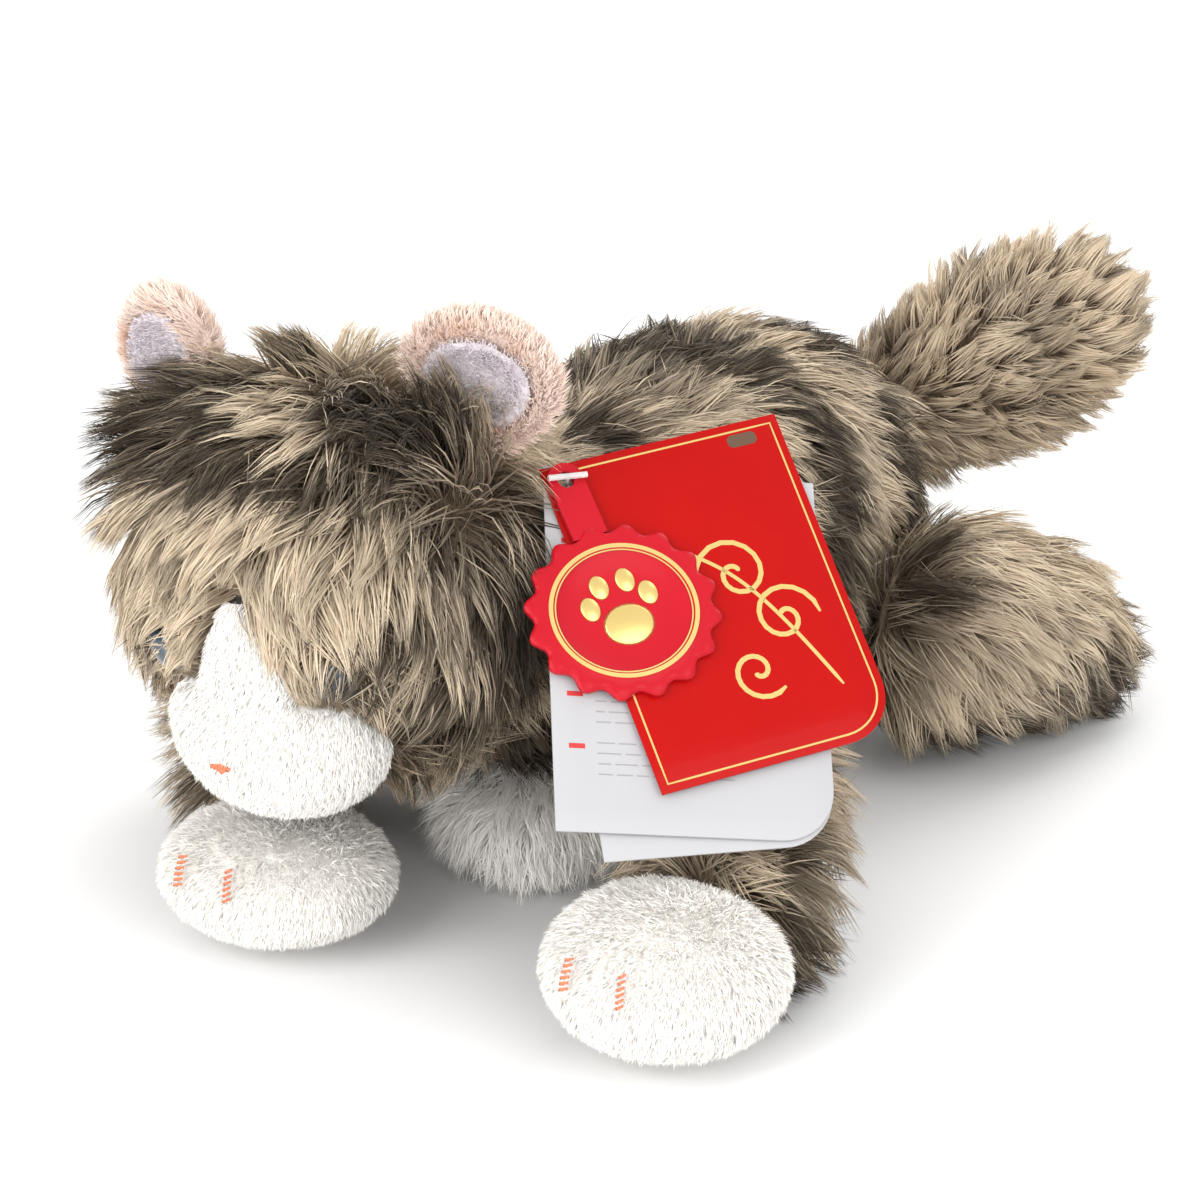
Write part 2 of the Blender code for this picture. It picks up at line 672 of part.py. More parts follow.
def make_paw(word, centre, radii, wrist, pivot):
    socket = WRIST_RADIUS + JOINT_GAP
    paw = piece(f"paw_{word}", floor_trim(blob(centre, radii)), WHITE_PLUSH, pivot)
    cut(paw, floor_trim(blob(centre, smaller(radii, SHORT_PILE)), SHORT_PILE), ball(wrist, socket))
    fill = floor_trim(blob(centre, smaller(radii, SHORT_PILE + GAP)), SHORT_PILE + GAP)
    fill = piece(f"paw_stuffing_{word}", fill, FIBRE_FILL, pivot)
    cut(fill, ball(wrist, socket))
    for toe, toe_word in ((-1, "inner"), (1, "outer")):
        places = []
        for z in (-TOE_STITCH_LENGTH / 2, 0, TOE_STITCH_LENGTH / 2):
            point, normal = on_egg(toe * TOE_SPACING / 2, z + TOE_HEIGHT, ORIGIN, radii)
            places.append(centre + point + normal * (THREAD_RADIUS + GAP))
        thread = sausage(places, [THREAD_RADIUS] * 3, segments=5, steps=1, cap_steps=2)
        piece(f"toe_stitch_{word}_{toe_word}", thread, CORAL_THREAD, pivot)


def make_front_legs():
    for side, word, elbow, wrist, paw, radii in (
        (1, "left", LEFT_ELBOW, LEFT_WRIST, LEFT_PAW, LEFT_PAW_RADII),
        (-1, "right", RIGHT_ELBOW, RIGHT_WRIST, RIGHT_PAW, RIGHT_PAW_RADII),
    ):
        shoulder = mirrored(SHOULDER, side)
        leg_pivot = empty(f"pivot_shoulder_{word}", shoulder)
        limb(f"front_leg_{word}", [shoulder, elbow, wrist],
             [SHOULDER_RADIUS, ELBOW_RADIUS, WRIST_RADIUS], side, SHOULDER_PLANE, leg_pivot)
        paw_pivot = empty(f"pivot_wrist_{word}", wrist, leg_pivot)
        make_paw(word, paw, radii, wrist, paw_pivot)


def make_hind_legs():
    for side, word in ((1, "left"), (-1, "right")):
        places = [mirrored(place, side) for place in (HIP, HIND_KNEE, HIND_FOOT)]
        pivot = empty(f"pivot_hip_{word}", places[0])
        limb(f"hind_leg_{word}", places, [HIP_RADIUS, KNEE_RADIUS, HIND_FOOT_RADIUS], side, HIP_PLANE, pivot)


# --- tail --------------------------------------------------------------------------------------

def make_tail():
    pivot = empty("pivot_tail", TAIL_ROOT)
    places = [TAIL_ROOT, TAIL_MIDDLE, TAIL_END]
    radii = [TAIL_ROOT_RADIUS, TAIL_MIDDLE_RADIUS, TAIL_END_RADIUS]
    into_body = (TORSO_CENTRE - TAIL_ROOT).normalized()
    mouth = TAIL_ROOT + into_body * (TAIL_ROOT_RADIUS * 0.4)
    cover = piece("tail_fur_cover", trim(sausage(places, radii), mouth, into_body), GREY_FUR, pivot)
    cut(cover, trim(sausage(places, radii, LONG_PILE), mouth + into_body * GAP, into_body))
    fill = trim(sausage(places, radii, LONG_PILE + GAP), mouth, into_body)
    piece("tail_stuffing", fill, FIBRE_FILL, pivot)


# --- hang tags ---------------------------------------------------------------------------------

ALONG = Vector((cos(TAG_HEADING), sin(TAG_HEADING), 0))
AWAY = Vector((sin(TAG_HEADING), -cos(TAG_HEADING), 0))
DOWN_SLOPE = AWAY * cos(TAG_SLOPE) - Z_AXIS * sin(TAG_SLOPE)
FACE = AWAY * sin(TAG_SLOPE) + Z_AXIS * cos(TAG_SLOPE)


def tag_frame(swing, layer):
    """Hole place, and the directions across and down a tag, for its swing and its layer."""
    hole = TAG_HOLE + FACE * CARD_PITCH * layer
    down = DOWN_SLOPE * cos(swing) + ALONG * sin(swing)
    across = ALONG * cos(swing) - DOWN_SLOPE * sin(swing)
    return hole, across, down


def plate(outline, hole, across, down, thickness):
    """Flat sheet from (across, down) points around the tag's hole."""
    bm = bmesh.new()
    lower = [bm.verts.new(hole + across * x + down * y) for x, y in outline]
    upper = [bm.verts.new(vert.co + FACE * thickness) for vert in lower]
    bm.faces.new(lower)
    bm.faces.new(reversed(upper))
    for index in range(len(lower)):
        follow = (index + 1) % len(lower)
        bm.faces.new((lower[index], upper[index], upper[follow], lower[follow]))
    bmesh.ops.recalc_face_normals(bm, faces=bm.faces)
    return bm


def card_outline(size):
    """Card with its hole near one corner and a round corner opposite."""
    low = -CARD_CORNER
    right, bottom = size.x - CARD_CORNER, size.y - CARD_CORNER
    points = [(low, low), (right, low)]
    for step in range(6):
        angle = step * pi / 2 / 5
        points.append((
            right - CARD_ROUND + CARD_ROUND * cos(angle), bottom - CARD_ROUND + CARD_ROUND * sin(angle)
        ))
    points.append((low, bottom))
    return points


def oval_outline(radii, offset, scallop=0.0, segments=32):
    points = []
    for step in range(segments):
        angle = 2 * pi * step / segments
        ripple = 1 + scallop * cos(SEAL_SCALLOPS * angle)
        points.append((radii.x * cos(angle) * ripple, offset + radii.y * sin(angle) * ripple))
    return points


def make_card(name, size, swing, layer, finish, pivot):
    hole, across, down = tag_frame(swing, layer)
    card = piece(name, plate(card_outline(size), hole, across, down, CARD_THICKNESS), finish, pivot)
    cut(card, rod(hole - FACE * 0.005, hole + FACE * 0.005, HOLE_RADIUS, 12))


def tag_cutters():
    """Hole through the head's cover for the fastener, and the pocket for its inner bar."""
    inside, bar = fastener_seat()
    way = filament_start() - inside
    channel = rod(inside - way * 0.2, inside + way * 1.5, FILAMENT_RADIUS + 4 * GAP, 8)
    half = bar * (BAR_LENGTH / 2 + GAP)
    pocket = rod(inside - half, inside + half, 3 * FILAMENT_RADIUS + GAP, 12)
    return channel, pocket


def fastener_seat():
    """Middle and direction of the bar behind the head's cover."""
    inward = (head_place(HEAD_BULGE) - TAG_HOLE).normalized()
    bar = inward.cross(Z_AXIS).normalized()
    return TAG_HOLE + inward * (LONG_PILE * 2.2), bar


def filament_start():
    """Where the filament leaves the fur and turns to pass through the tags."""
    return TAG_HOLE - FACE * 2 * CARD_PITCH


def make_tags(head_pivot):
    inside, bar = fastener_seat()
    filament = [inside, filament_start(), TAG_HOLE + FACE * CARD_PITCH * 6]
    fastener = piece("tag_fastener", sausage(filament, [FILAMENT_RADIUS] * 3, segments=8, cap_steps=2),
                     CLEAR_PLASTIC, head_pivot)
    half = bar * (BAR_LENGTH / 2)
    end = filament[-1]
    join(fastener, rod(inside - half, inside + half, FILAMENT_RADIUS * 1.3, 8),
         rod(end - ALONG * BAR_LENGTH / 2, end + ALONG * BAR_LENGTH / 2, FILAMENT_RADIUS * 1.3, 8))
    for name, size, swing, layer, finish in (
        ("tag_backing_card", BACKING_SIZE, radians(-3), 0, WHITE_PAPER),
        ("tag_leaflet", LEAFLET_SIZE, radians(-10), 1, WHITE_PAPER),
        ("tag_cover", COVER_SIZE, radians(8), 2, RED_CARD),
    ):
        pivot = empty(f"pivot_{name}", TAG_HOLE, head_pivot)
        make_card(name, size, swing, layer, finish, pivot)

    pivot = empty("pivot_tag_seal", TAG_HOLE, head_pivot)
    hole, across, down = tag_frame(radians(11), 3)
    offset = SEAL_RADII.y + 3 * CARD_CORNER
    outline = oval_outline(SEAL_RADII, offset, scallop=0.05)
    seal = piece("tag_seal", plate(outline, hole, across, down, SEAL_THICKNESS), RED_SEAL, pivot)
    tab = [(-CARD_CORNER, -CARD_CORNER), (CARD_CORNER, -CARD_CORNER), (CARD_CORNER, offset), (-CARD_CORNER, offset)]
    join(seal, plate(tab, hole + FACE * SEAM, across, down, SEAL_THICKNESS - 2 * SEAM))
    cut(seal, rod(hole - FACE * 0.005, hole + FACE * 0.005, HOLE_RADIUS, 12))
    ring_face = hole + FACE * (SEAL_THICKNESS + GAP)
    ring = piece("tag_seal_ring", plate(oval_outline(SEAL_RADII * 0.8, offset), ring_face, across, down,
                                        CARD_THICKNESS), GOLD_FOIL, pivot)
    cut(ring, plate(oval_outline(SEAL_RADII * 0.75, offset), ring_face - FACE * 0.001, across, down, 0.004))


def main():
    for thing in list(bpy.data.objects):
        bpy.data.objects.remove(thing, do_unlink=True)
    make_torso()
    neck_pivot = empty("pivot_neck_turn", NECK)
    make_neck(neck_pivot)
    head_pivot = empty("pivot_head_nod", NECK, neck_pivot)
    make_head(head_pivot)
    for side, word in ((1, "left"), (-1, "right")):
        ear_pivot = empty(f"pivot_ear_{word}", ear_frame(side)[0], head_pivot)
        make_ear(side, word, ear_pivot)
    make_front_legs()
    make_hind_legs()
    make_tail()
    make_tags(head_pivot)


main()
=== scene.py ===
"""Plush cat lying on its belly: stuffed forms, pile grown in strands, eyes, stitching and paper tags."""

import math

import bmesh
import bpy
import numpy as np
from mathutils import Matrix, Vector
from mathutils.bvhtree import BVHTree
from mathutils.kdtree import KDTree


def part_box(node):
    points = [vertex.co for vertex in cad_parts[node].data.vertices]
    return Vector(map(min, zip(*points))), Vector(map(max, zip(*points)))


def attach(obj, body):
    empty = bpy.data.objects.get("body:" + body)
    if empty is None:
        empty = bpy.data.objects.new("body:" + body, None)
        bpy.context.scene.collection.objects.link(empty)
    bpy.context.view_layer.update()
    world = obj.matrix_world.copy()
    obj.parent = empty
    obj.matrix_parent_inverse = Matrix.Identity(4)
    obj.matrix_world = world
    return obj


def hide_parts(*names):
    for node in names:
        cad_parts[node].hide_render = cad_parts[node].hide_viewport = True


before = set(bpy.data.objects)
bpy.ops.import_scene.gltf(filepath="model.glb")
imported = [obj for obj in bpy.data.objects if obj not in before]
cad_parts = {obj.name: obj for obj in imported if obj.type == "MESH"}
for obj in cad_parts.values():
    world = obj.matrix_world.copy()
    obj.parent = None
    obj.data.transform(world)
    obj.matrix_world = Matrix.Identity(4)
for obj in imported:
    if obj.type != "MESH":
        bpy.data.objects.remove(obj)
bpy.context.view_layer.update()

bl_info = {
    "name": "Plush Cat",
    "version": (1, 0, 0),
    "blender": (4, 5, 0),
    "location": "3D View > Sidebar > Plush Cat",
    "description": "Builds a plush cat with long striped pile around its CAD frame",
    "category": "Object",
}

MM = 0.001
PILE_MAP = "OFBake"      # strand tone across, place along the strand up

NOSE = Vector((-0.1, -152.5, 61.5)) * MM
NOSE_OUT = Vector((0.138, -0.983, -0.118))
EYES = {
    "left": (Vector((22.7, -136.6, 84.1)) * MM, Vector((0.555, -0.782, -0.283))),
    "right": (Vector((-26.4, -143.5, 84.1)) * MM, Vector((-0.318, -0.905, -0.283))),
}
EYE_RADIUS = 6.5 * MM
EYE_DOME = 4.5 * MM
EARS = {
    "left": (Vector((31.8, -94, 141.2)) * MM,
             Vector((0.2523, -0.0329, 0.9671)), Vector((0.3815, -0.9151, -0.1306))),
    "right": (Vector((-52.4, -103.5, 136)) * MM,
              Vector((-0.6259, -0.0328, 0.7792)), Vector((-0.1528, -0.9746, -0.1637))),
}
PAWS = {
    "left": Vector((105, -113, 21)) * MM,
    "right": Vector((-13, -121, 18)) * MM,
}
CROWN = Vector((-10, -92, 152)) * MM
CHEEK_MIDDLE = np.array((-8, -112, 56)) * MM
CHEEK_APART = np.array((46, 0, 0)) * MM
TAIL_ROOT = Vector((8, 122, 84)) * MM
TAIL_TIP = Vector((44, 170, 108)) * MM

TAG_HOLE = Vector((46, -77, 122)) * MM
TAG_ALONG = Vector((0.5736, 0.8192, 0))
TAG_DOWN = Vector((0.5481, -0.3838, -0.7431))
TAG_FACE = Vector((0.6087, -0.4263, 0.6691))
CARD_PITCH = 1.2 * MM
CARD_THICKNESS = 0.7 * MM
CARD_CORNER = 5 * MM
CARD_ROUND = 14 * MM
HOLE_RADIUS = 2.2 * MM
SEAL_RADII = (24 * MM, 22 * MM)
# tag: (width, height, swing in degrees, layer from the back)
BACKING = (60 * MM, 103 * MM, -3, 0)
LEAFLET = (70 * MM, 96 * MM, -10, 1)
COVER = (65 * MM, 89 * MM, 8, 2)
SEAL_SWING, SEAL_LAYER = 11, 3
CARD_CELL = 6 * MM        # cells that a card bows in

SWELL_FRAMES = 20
SWELL_PRESSURE = 4
CLOTH_WALL = 0.7 * MM
STRAND_FLOOR = 0.4 * MM   # strands lie no lower than this
EYE_SEGMENTS = 32

CAMERA_TARGET = (0, 0, 0.06)
CAMERA_AZIMUTH, CAMERA_ELEVATION = 37, 20
CAMERA_LENS, CAMERA_SENSOR = 108, 36

# body: (shown covers, what is inside them, voxel size, how far the filling may push it out)
STUFFED = {
    "torso": (("body_fur_cover", "belly_panel", "chest_bib"), ("body_stuffing", "pellet_pouch"), 5, 2.0),
    "neck": (("neck_gusset",), (), 4, 0),
    "head": (("head_fur_cover", "blaze_panel", "muzzle_panel", "chin_panel"), ("head_stuffing",), 4, 1.5),
    "ear_left": (("ear_left",), (), 2.2, 0),
    "ear_right": (("ear_right",), (), 2.2, 0),
    "front_leg_left": (("front_leg_left_fur_cover",), ("front_leg_left_stuffing",), 4, 1.0),
    "front_leg_right": (("front_leg_right_fur_cover",), ("front_leg_right_stuffing",), 4, 1.0),
    "paw_left": (("paw_left",), ("paw_stuffing_left",), 3.5, 1.0),
    "paw_right": (("paw_right",), ("paw_stuffing_right",), 3.5, 1.0),
    "hind_leg_left": (("hind_leg_left_fur_cover",), ("hind_leg_left_stuffing",), 4, 1.5),
    "hind_leg_right": (("hind_leg_right_fur_cover",), ("hind_leg_right_stuffing",), 4, 1.5),
    "tail": (("tail_fur_cover",), ("tail_stuffing",), 4, 1.5),
}
SHORT_COVERS = ("belly_panel", "blaze_panel", "muzzle_panel", "chin_panel", "paw_left", "paw_right")
EAR_COVERS = ("ear_left", "ear_right")

FORMS = {}      # body: its stuffed form, as arrays


# --- sizes and colours -------------------------------------------------------------------------

class PLUSHCAT_PG_coat(bpy.types.PropertyGroup):
    """Sizes of the pile."""

    long_length: bpy.props.FloatProperty(
        name="Long pile", description="Length of the long strands", default=23 * MM, unit="LENGTH")
    long_density: bpy.props.FloatProperty(
        name="Long pile density", description="Long strands on each square millimetre", default=2.1)
    long_width: bpy.props.FloatProperty(
        name="Long strand width", description="Width of a long strand", default=0.40 * MM, unit="LENGTH")
    short_length: bpy.props.FloatProperty(
        name="Short pile", description="Length of the white plush", default=3.0 * MM, unit="LENGTH")
    short_density: bpy.props.FloatProperty(
        name="Short pile density", description="Short strands on each square millimetre", default=4.6)
    short_width: bpy.props.FloatProperty(
        name="Short strand width", description="Width of a short strand", default=0.31 * MM, unit="LENGTH")
    skin_depth: bpy.props.FloatProperty(
        name="Skin depth", description="How far the long pile's cloth lies under its outline",
        default=8 * MM, unit="LENGTH")


def colour_property(name, description, value):
    return bpy.props.FloatVectorProperty(
        name=name, description=description, subtype="COLOR", size=3, min=0, max=1, default=value)


class PLUSHCAT_PG_colours(bpy.types.PropertyGroup):
    """Colours of the cloths, thread, card and plastic."""

    pale_fur: colour_property("Pale fur", "Tips of the pale strands", (0.70, 0.575, 0.42))
    pale_root: colour_property("Pale root", "Roots of the pale strands", (0.35, 0.265, 0.185))
    dark_fur: colour_property("Dark fur", "Tips of the dark strands", (0.030, 0.020, 0.012))
    dark_root: colour_property("Dark root", "Roots of the dark strands", (0.095, 0.066, 0.042))
    white_plush: colour_property("White plush", "Muzzle, paws and bib", (0.98, 0.955, 0.915))
    ear_plush: colour_property("Ear plush", "Short pile on the ears", (0.90, 0.77, 0.69))
    ear_lining: colour_property("Ear lining", "Velour inside the ears", (0.80, 0.74, 0.78))
    coral: colour_property("Coral thread", "Nose and toe stitches", (0.78, 0.22, 0.10))
    eye: colour_property("Eye", "Outer part of the eyes", (0.028, 0.055, 0.08))
    card_red: colour_property("Card red", "Cover card", (0.40, 0.003, 0.002))
    seal_red: colour_property("Seal red", "Moulded seal", (0.46, 0.006, 0.016))
    gold: colour_property("Gold", "Foil lines", (0.62, 0.40, 0.11))


class PLUSHCAT_PG_stage(bpy.types.PropertyGroup):
    """Floor colour and the strength of the lights."""

    floor: colour_property("Floor", "Pale floor", (0.86, 0.86, 0.86))
    key_power: bpy.props.FloatProperty(name="Key light", description="Power of the main soft light", default=11.5)
    fill_power: bpy.props.FloatProperty(name="Fill light", description="Power of the side light", default=6.5)
    low_power: bpy.props.FloatProperty(
        name="Low light", description="Power of the light at the height of the chest", default=2.2)
    world_strength: bpy.props.FloatProperty(name="Surround", description="Light from all round", default=1.0)


# --- materials ---------------------------------------------------------------------------------

def new_group(name, inputs, outputs):
    group = bpy.data.node_groups.new(name, "ShaderNodeTree")
    for label, kind, value in inputs:
        socket = group.interface.new_socket(label, in_out="INPUT", socket_type=kind)
        if value is not None:
            socket.default_value = value
    for label, kind in outputs:
        group.interface.new_socket(label, in_out="OUTPUT", socket_type=kind)
    return group, group.nodes.new("NodeGroupInput"), group.nodes.new("NodeGroupOutput")


def pile_tone_group():
    """Colour of a strand from its tone and the place along it."""
    name = "pile tone"
    if name in bpy.data.node_groups:
        return bpy.data.node_groups[name]
    black = (0, 0, 0, 1)
    group, ins, outs = new_group(name, (
        ("Pale tip", "NodeSocketColor", black), ("Pale root", "NodeSocketColor", black),
        ("Dark tip", "NodeSocketColor", black), ("Dark root", "NodeSocketColor", black),
    ), (("Color", "NodeSocketColor"),))
    nodes, links = group.nodes, group.links
    uv = nodes.new("ShaderNodeUVMap")
    uv.uv_map = PILE_MAP
    split = nodes.new("ShaderNodeSeparateXYZ")
    links.new(uv.outputs[0], split.inputs[0])
    along = nodes.new("ShaderNodeMapRange")
    along.interpolation_type = "SMOOTHSTEP"
    along.inputs["From Min"].default_value = 0.05
    along.inputs["From Max"].default_value = 0.75
    links.new(split.outputs["Y"], along.inputs["Value"])
    mixes = []
    for root, tip in (("Pale root", "Pale tip"), ("Dark root", "Dark tip")):
        mix = nodes.new("ShaderNodeMix")
        mix.data_type = "RGBA"
        links.new(along.outputs["Result"], mix.inputs["Factor"])
        links.new(ins.outputs[root], mix.inputs[6])
        links.new(ins.outputs[tip], mix.inputs[7])
        mixes.append(mix)
    both = nodes.new("ShaderNodeMix")
    both.data_type = "RGBA"
    links.new(split.outputs["X"], both.inputs["Factor"])
    links.new(mixes[0].outputs[2], both.inputs[6])
    links.new(mixes[1].outputs[2], both.inputs[7])
    links.new(both.outputs[2], outs.inputs["Color"])
    return group


def grain_group():
    """Fine bump and mottling for cloth, card and moulded plastic."""
    name = "fine grain"
    if name in bpy.data.node_groups:
        return bpy.data.node_groups[name]
    group, ins, outs = new_group(name, (
        ("Color", "NodeSocketColor", (0.8, 0.8, 0.8, 1)), ("Scale", "NodeSocketFloat", 900.0),
        ("Depth", "NodeSocketFloat", 0.1), ("Mottle", "NodeSocketFloat", 0.1), ("Roughness", "NodeSocketFloat", 0.5),
    ), (("Color", "NodeSocketColor"), ("Roughness", "NodeSocketFloat"), ("Normal", "NodeSocketVector")))
    nodes, links = group.nodes, group.links
    place = nodes.new("ShaderNodeTexCoord")
    fine = nodes.new("ShaderNodeTexNoise")
    fine.inputs["Detail"].default_value = 3
    links.new(place.outputs["Object"], fine.inputs["Vector"])
    links.new(ins.outputs["Scale"], fine.inputs["Scale"])
    broad = nodes.new("ShaderNodeTexNoise")
    broad.inputs["Scale"].default_value = 60
    links.new(place.outputs["Object"], broad.inputs["Vector"])
    shade = nodes.new("ShaderNodeMapRange")
    shade.inputs["To Min"].default_value = -1
    shade.inputs["To Max"].default_value = 1
    links.new(broad.outputs["Fac"], shade.inputs["Value"])
    amount = nodes.new("ShaderNodeMath")
    amount.operation = "MULTIPLY"
    links.new(shade.outputs["Result"], amount.inputs[0])
    links.new(ins.outputs["Mottle"], amount.inputs[1])
    bright = nodes.new("ShaderNodeMath")
    bright.operation = "ADD"
    bright.inputs[1].default_value = 1
    links.new(amount.outputs[0], bright.inputs[0])
    tint = nodes.new("ShaderNodeVectorMath")
    tint.operation = "SCALE"
    links.new(ins.outputs["Color"], tint.inputs[0])
    links.new(bright.outputs[0], tint.inputs["Scale"])
    links.new(tint.outputs[0], outs.inputs["Color"])
    rough = nodes.new("ShaderNodeMath")
    rough.operation = "MULTIPLY"
    links.new(ins.outputs["Roughness"], rough.inputs[0])
    links.new(bright.outputs[0], rough.inputs[1])
    links.new(rough.outputs[0], outs.inputs["Roughness"])
    bump = nodes.new("ShaderNodeBump")
    bump.inputs["Distance"].default_value = 0.3 * MM
    links.new(ins.outputs["Depth"], bump.inputs["Strength"])
    links.new(fine.outputs["Fac"], bump.inputs["Height"])
    links.new(bump.outputs[0], outs.inputs["Normal"])
    return group


def shader(name):
    """Material with only its Principled shader, and whether it is new."""
    made = bpy.data.materials.get(name)
    if made:
        return made, None
    made = bpy.data.materials.new(name)
    made.use_nodes = True
    return made, made.node_tree.nodes["Principled BSDF"]


def pile_material(name, pale, pale_root, dark, dark_root, roughness=0.62, sheen=0.05):
    made, principled = shader(name)
    if principled is None:
        return made
    tone = made.node_tree.nodes.new("ShaderNodeGroup")
    tone.node_tree = pile_tone_group()
    for label, colour in (("Pale tip", pale), ("Pale root", pale_root), ("Dark tip", dark), ("Dark root", dark_root)):
        tone.inputs[label].default_value = (*colour, 1)
    made.node_tree.links.new(tone.outputs["Color"], principled.inputs["Base Color"])
    principled.inputs["Roughness"].default_value = roughness
    principled.inputs["Specular IOR Level"].default_value = 0.15
    principled.inputs["Sheen Weight"].default_value = sheen
    principled.inputs["Sheen Roughness"].default_value = 0.5
    return made


def grain_material(name, colour, roughness=0.5, scale=900, depth=0.1, mottle=0.06, metallic=0.0, coat=0.0,
                   sheen=0.0, specular=0.5):
    made, principled = shader(name)
    if principled is None:
        return made
    grain = made.node_tree.nodes.new("ShaderNodeGroup")
    grain.node_tree = grain_group()
    grain.inputs["Color"].default_value = (*colour, 1)
    for label, value in (("Scale", scale), ("Depth", depth), ("Mottle", mottle), ("Roughness", roughness)):
        grain.inputs[label].default_value = value
    for label in ("Roughness", "Normal"):
        made.node_tree.links.new(grain.outputs[label], principled.inputs[label])
    made.node_tree.links.new(grain.outputs["Color"], principled.inputs["Base Color"])
    principled.inputs["Metallic"].default_value = metallic
    principled.inputs["Specular IOR Level"].default_value = specular
    principled.inputs["Coat Weight"].default_value = coat
    principled.inputs["Coat Roughness"].default_value = 0.06
    principled.inputs["Sheen Weight"].default_value = sheen
    return made


def scaled(colour, by):
    return tuple(min(1, c * by) for c in colour)


def grey_fur():
    c = bpy.context.scene.plush_colours
    return pile_material("long_grey_pile", c.pale_fur, c.pale_root, c.dark_fur, c.dark_root)


def white_plush():
    c = bpy.context.scene.plush_colours.white_plush
    return pile_material("white_plush_pile", c, scaled(c, 0.95), scaled(c, 0.86), scaled(c, 0.78), 0.8, 0.3)


def ear_plush():
    c = bpy.context.scene.plush_colours.ear_plush
    return pile_material("ear_plush_pile", c, scaled(c, 0.9), (0.80, 0.48, 0.33), (0.66, 0.36, 0.24), 0.8, 0.3)


def lining_velour():
    c = bpy.context.scene.plush_colours.ear_lining
    return pile_material("ear_lining_velour", c, scaled(c, 0.9), (0.05, 0.04, 0.03), (0.12, 0.09, 0.07), 0.7, 0.3)


# --- stuffed forms -----------------------------------------------------------------------------

def alone(thing):
    """Makes one object the only selected and the active one."""
    bpy.ops.object.select_all(action="DESELECT")
    thing.select_set(True)
    bpy.context.view_layer.objects.active = thing


def applied(thing, kind, **settings):
    """Gives a thing a modifier with these settings and applies it."""
    alone(thing)
    made = thing.modifiers.new(kind.title(), kind)
    for key, value in settings.items():
        setattr(made, key, value)
    bpy.ops.object.modifier_apply(modifier=made.name)
    return thing


def face_out(thing):
    bm = bmesh.new()
    bm.from_mesh(thing.data)
    bmesh.ops.recalc_face_normals(bm, faces=bm.faces)
    bm.to_mesh(thing.data)
    bm.free()


def shade_all(mesh, smooth=True):
    mesh.polygons.foreach_set("use_smooth", [smooth] * len(mesh.polygons))


def node_copy(name, nodes):
    """Copies of CAD nodes as one object."""
    bm = bmesh.new()
    for node in nodes:
        bm.from_mesh(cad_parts[node].data)
    bmesh.ops.remove_doubles(bm, verts=bm.verts, dist=0.01 * MM)
    mesh = bpy.data.meshes.new(name)
    bm.to_mesh(mesh)
    bm.free()
    thing = bpy.data.objects.new(name, mesh)
    bpy.context.scene.collection.objects.link(thing)
    return thing


def remeshed(thing, voxel):
    applied(thing, "REMESH", mode="VOXEL", voxel_size=voxel * MM)
    return applied(thing, "SMOOTH", factor=0.5, iterations=3)


def points_of(mesh):
    points = np.empty(len(mesh.vertices) * 3, np.float32)
    mesh.vertices.foreach_get("co", points)
    return points.reshape(-1, 3).astype(float)


def set_points(mesh, points):
    mesh.vertices.foreach_set("co", points.astype(np.float32).ravel())
    mesh.update()


def normals_of(mesh):
    return np.array([v.normal for v in mesh.vertices], float).reshape(-1, 3)


def corners_of(mesh):
    """Vertices of each of a mesh's triangles."""
    mesh.calc_loop_triangles()
    corners = np.empty(len(mesh.loop_triangles) * 3, np.int32)
    mesh.loop_triangles.foreach_get("vertices", corners)
    return corners.reshape(-1, 3)


def set_tone(mesh, across, along):
    """Gives every face corner its tone and its place along the strand."""
    flat = np.empty((len(mesh.loops), 2), np.float32)
    flat[:, 0], flat[:, 1] = across, along
    mesh.uv_layers.new(name=PILE_MAP).data.foreach_set("uv", flat.ravel())


def fill_out(things):
    """Pressure swells every form that has a reach, all in one cloth simulation, and the reach caps it."""
    starts = {}
    for thing, reach in things:
        if not reach:
            continue
        starts[thing.name] = points_of(thing.data)
        cloth = thing.modifiers.new("Filling", "CLOTH")
        cloth.settings.quality = 4
        cloth.settings.use_pressure = True
        cloth.settings.uniform_pressure_force = SWELL_PRESSURE
        cloth.settings.effector_weights.gravity = 0
        cloth.collision_settings.use_collision = False
        cloth.point_cache.frame_start = 1
        cloth.point_cache.frame_end = SWELL_FRAMES
    scene = bpy.context.scene
    for step in range(1, SWELL_FRAMES + 1):
        scene.frame_set(step)
    graph = bpy.context.evaluated_depsgraph_get()
    for thing, reach in things:
        if not reach:
            continue
        swollen = points_of(thing.evaluated_get(graph).data)
        moved = swollen - starts[thing.name]
        length = np.linalg.norm(moved, axis=1, keepdims=True)
        moved *= np.minimum(1, reach * MM / np.maximum(length, 1e-9))
        thing.modifiers.remove(thing.modifiers["Filling"])
        set_points(thing.data, starts[thing.name] + moved)
    scene.frame_set(1)


def neighbour_mean(values, edges, rounds):
    """Each vertex's value drawn towards its neighbours'."""
    count = np.bincount(edges.ravel(), minlength=len(values)).astype(float)
    for _ in range(rounds):
        total = np.zeros_like(values)
        np.add.at(total, edges[:, 0], values[edges[:, 1]])
        np.add.at(total, edges[:, 1], values[edges[:, 0]])
        mean = total / np.maximum(count, 1).reshape((-1,) + (1,) * (values.ndim - 1))
        values = values * 0.4 + mean * 0.6
    return values


def tree_of(node):
    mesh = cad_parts[node].data
    return BVHTree.FromPolygons([v.co.copy() for v in mesh.vertices], [tuple(p.vertices) for p in mesh.polygons])


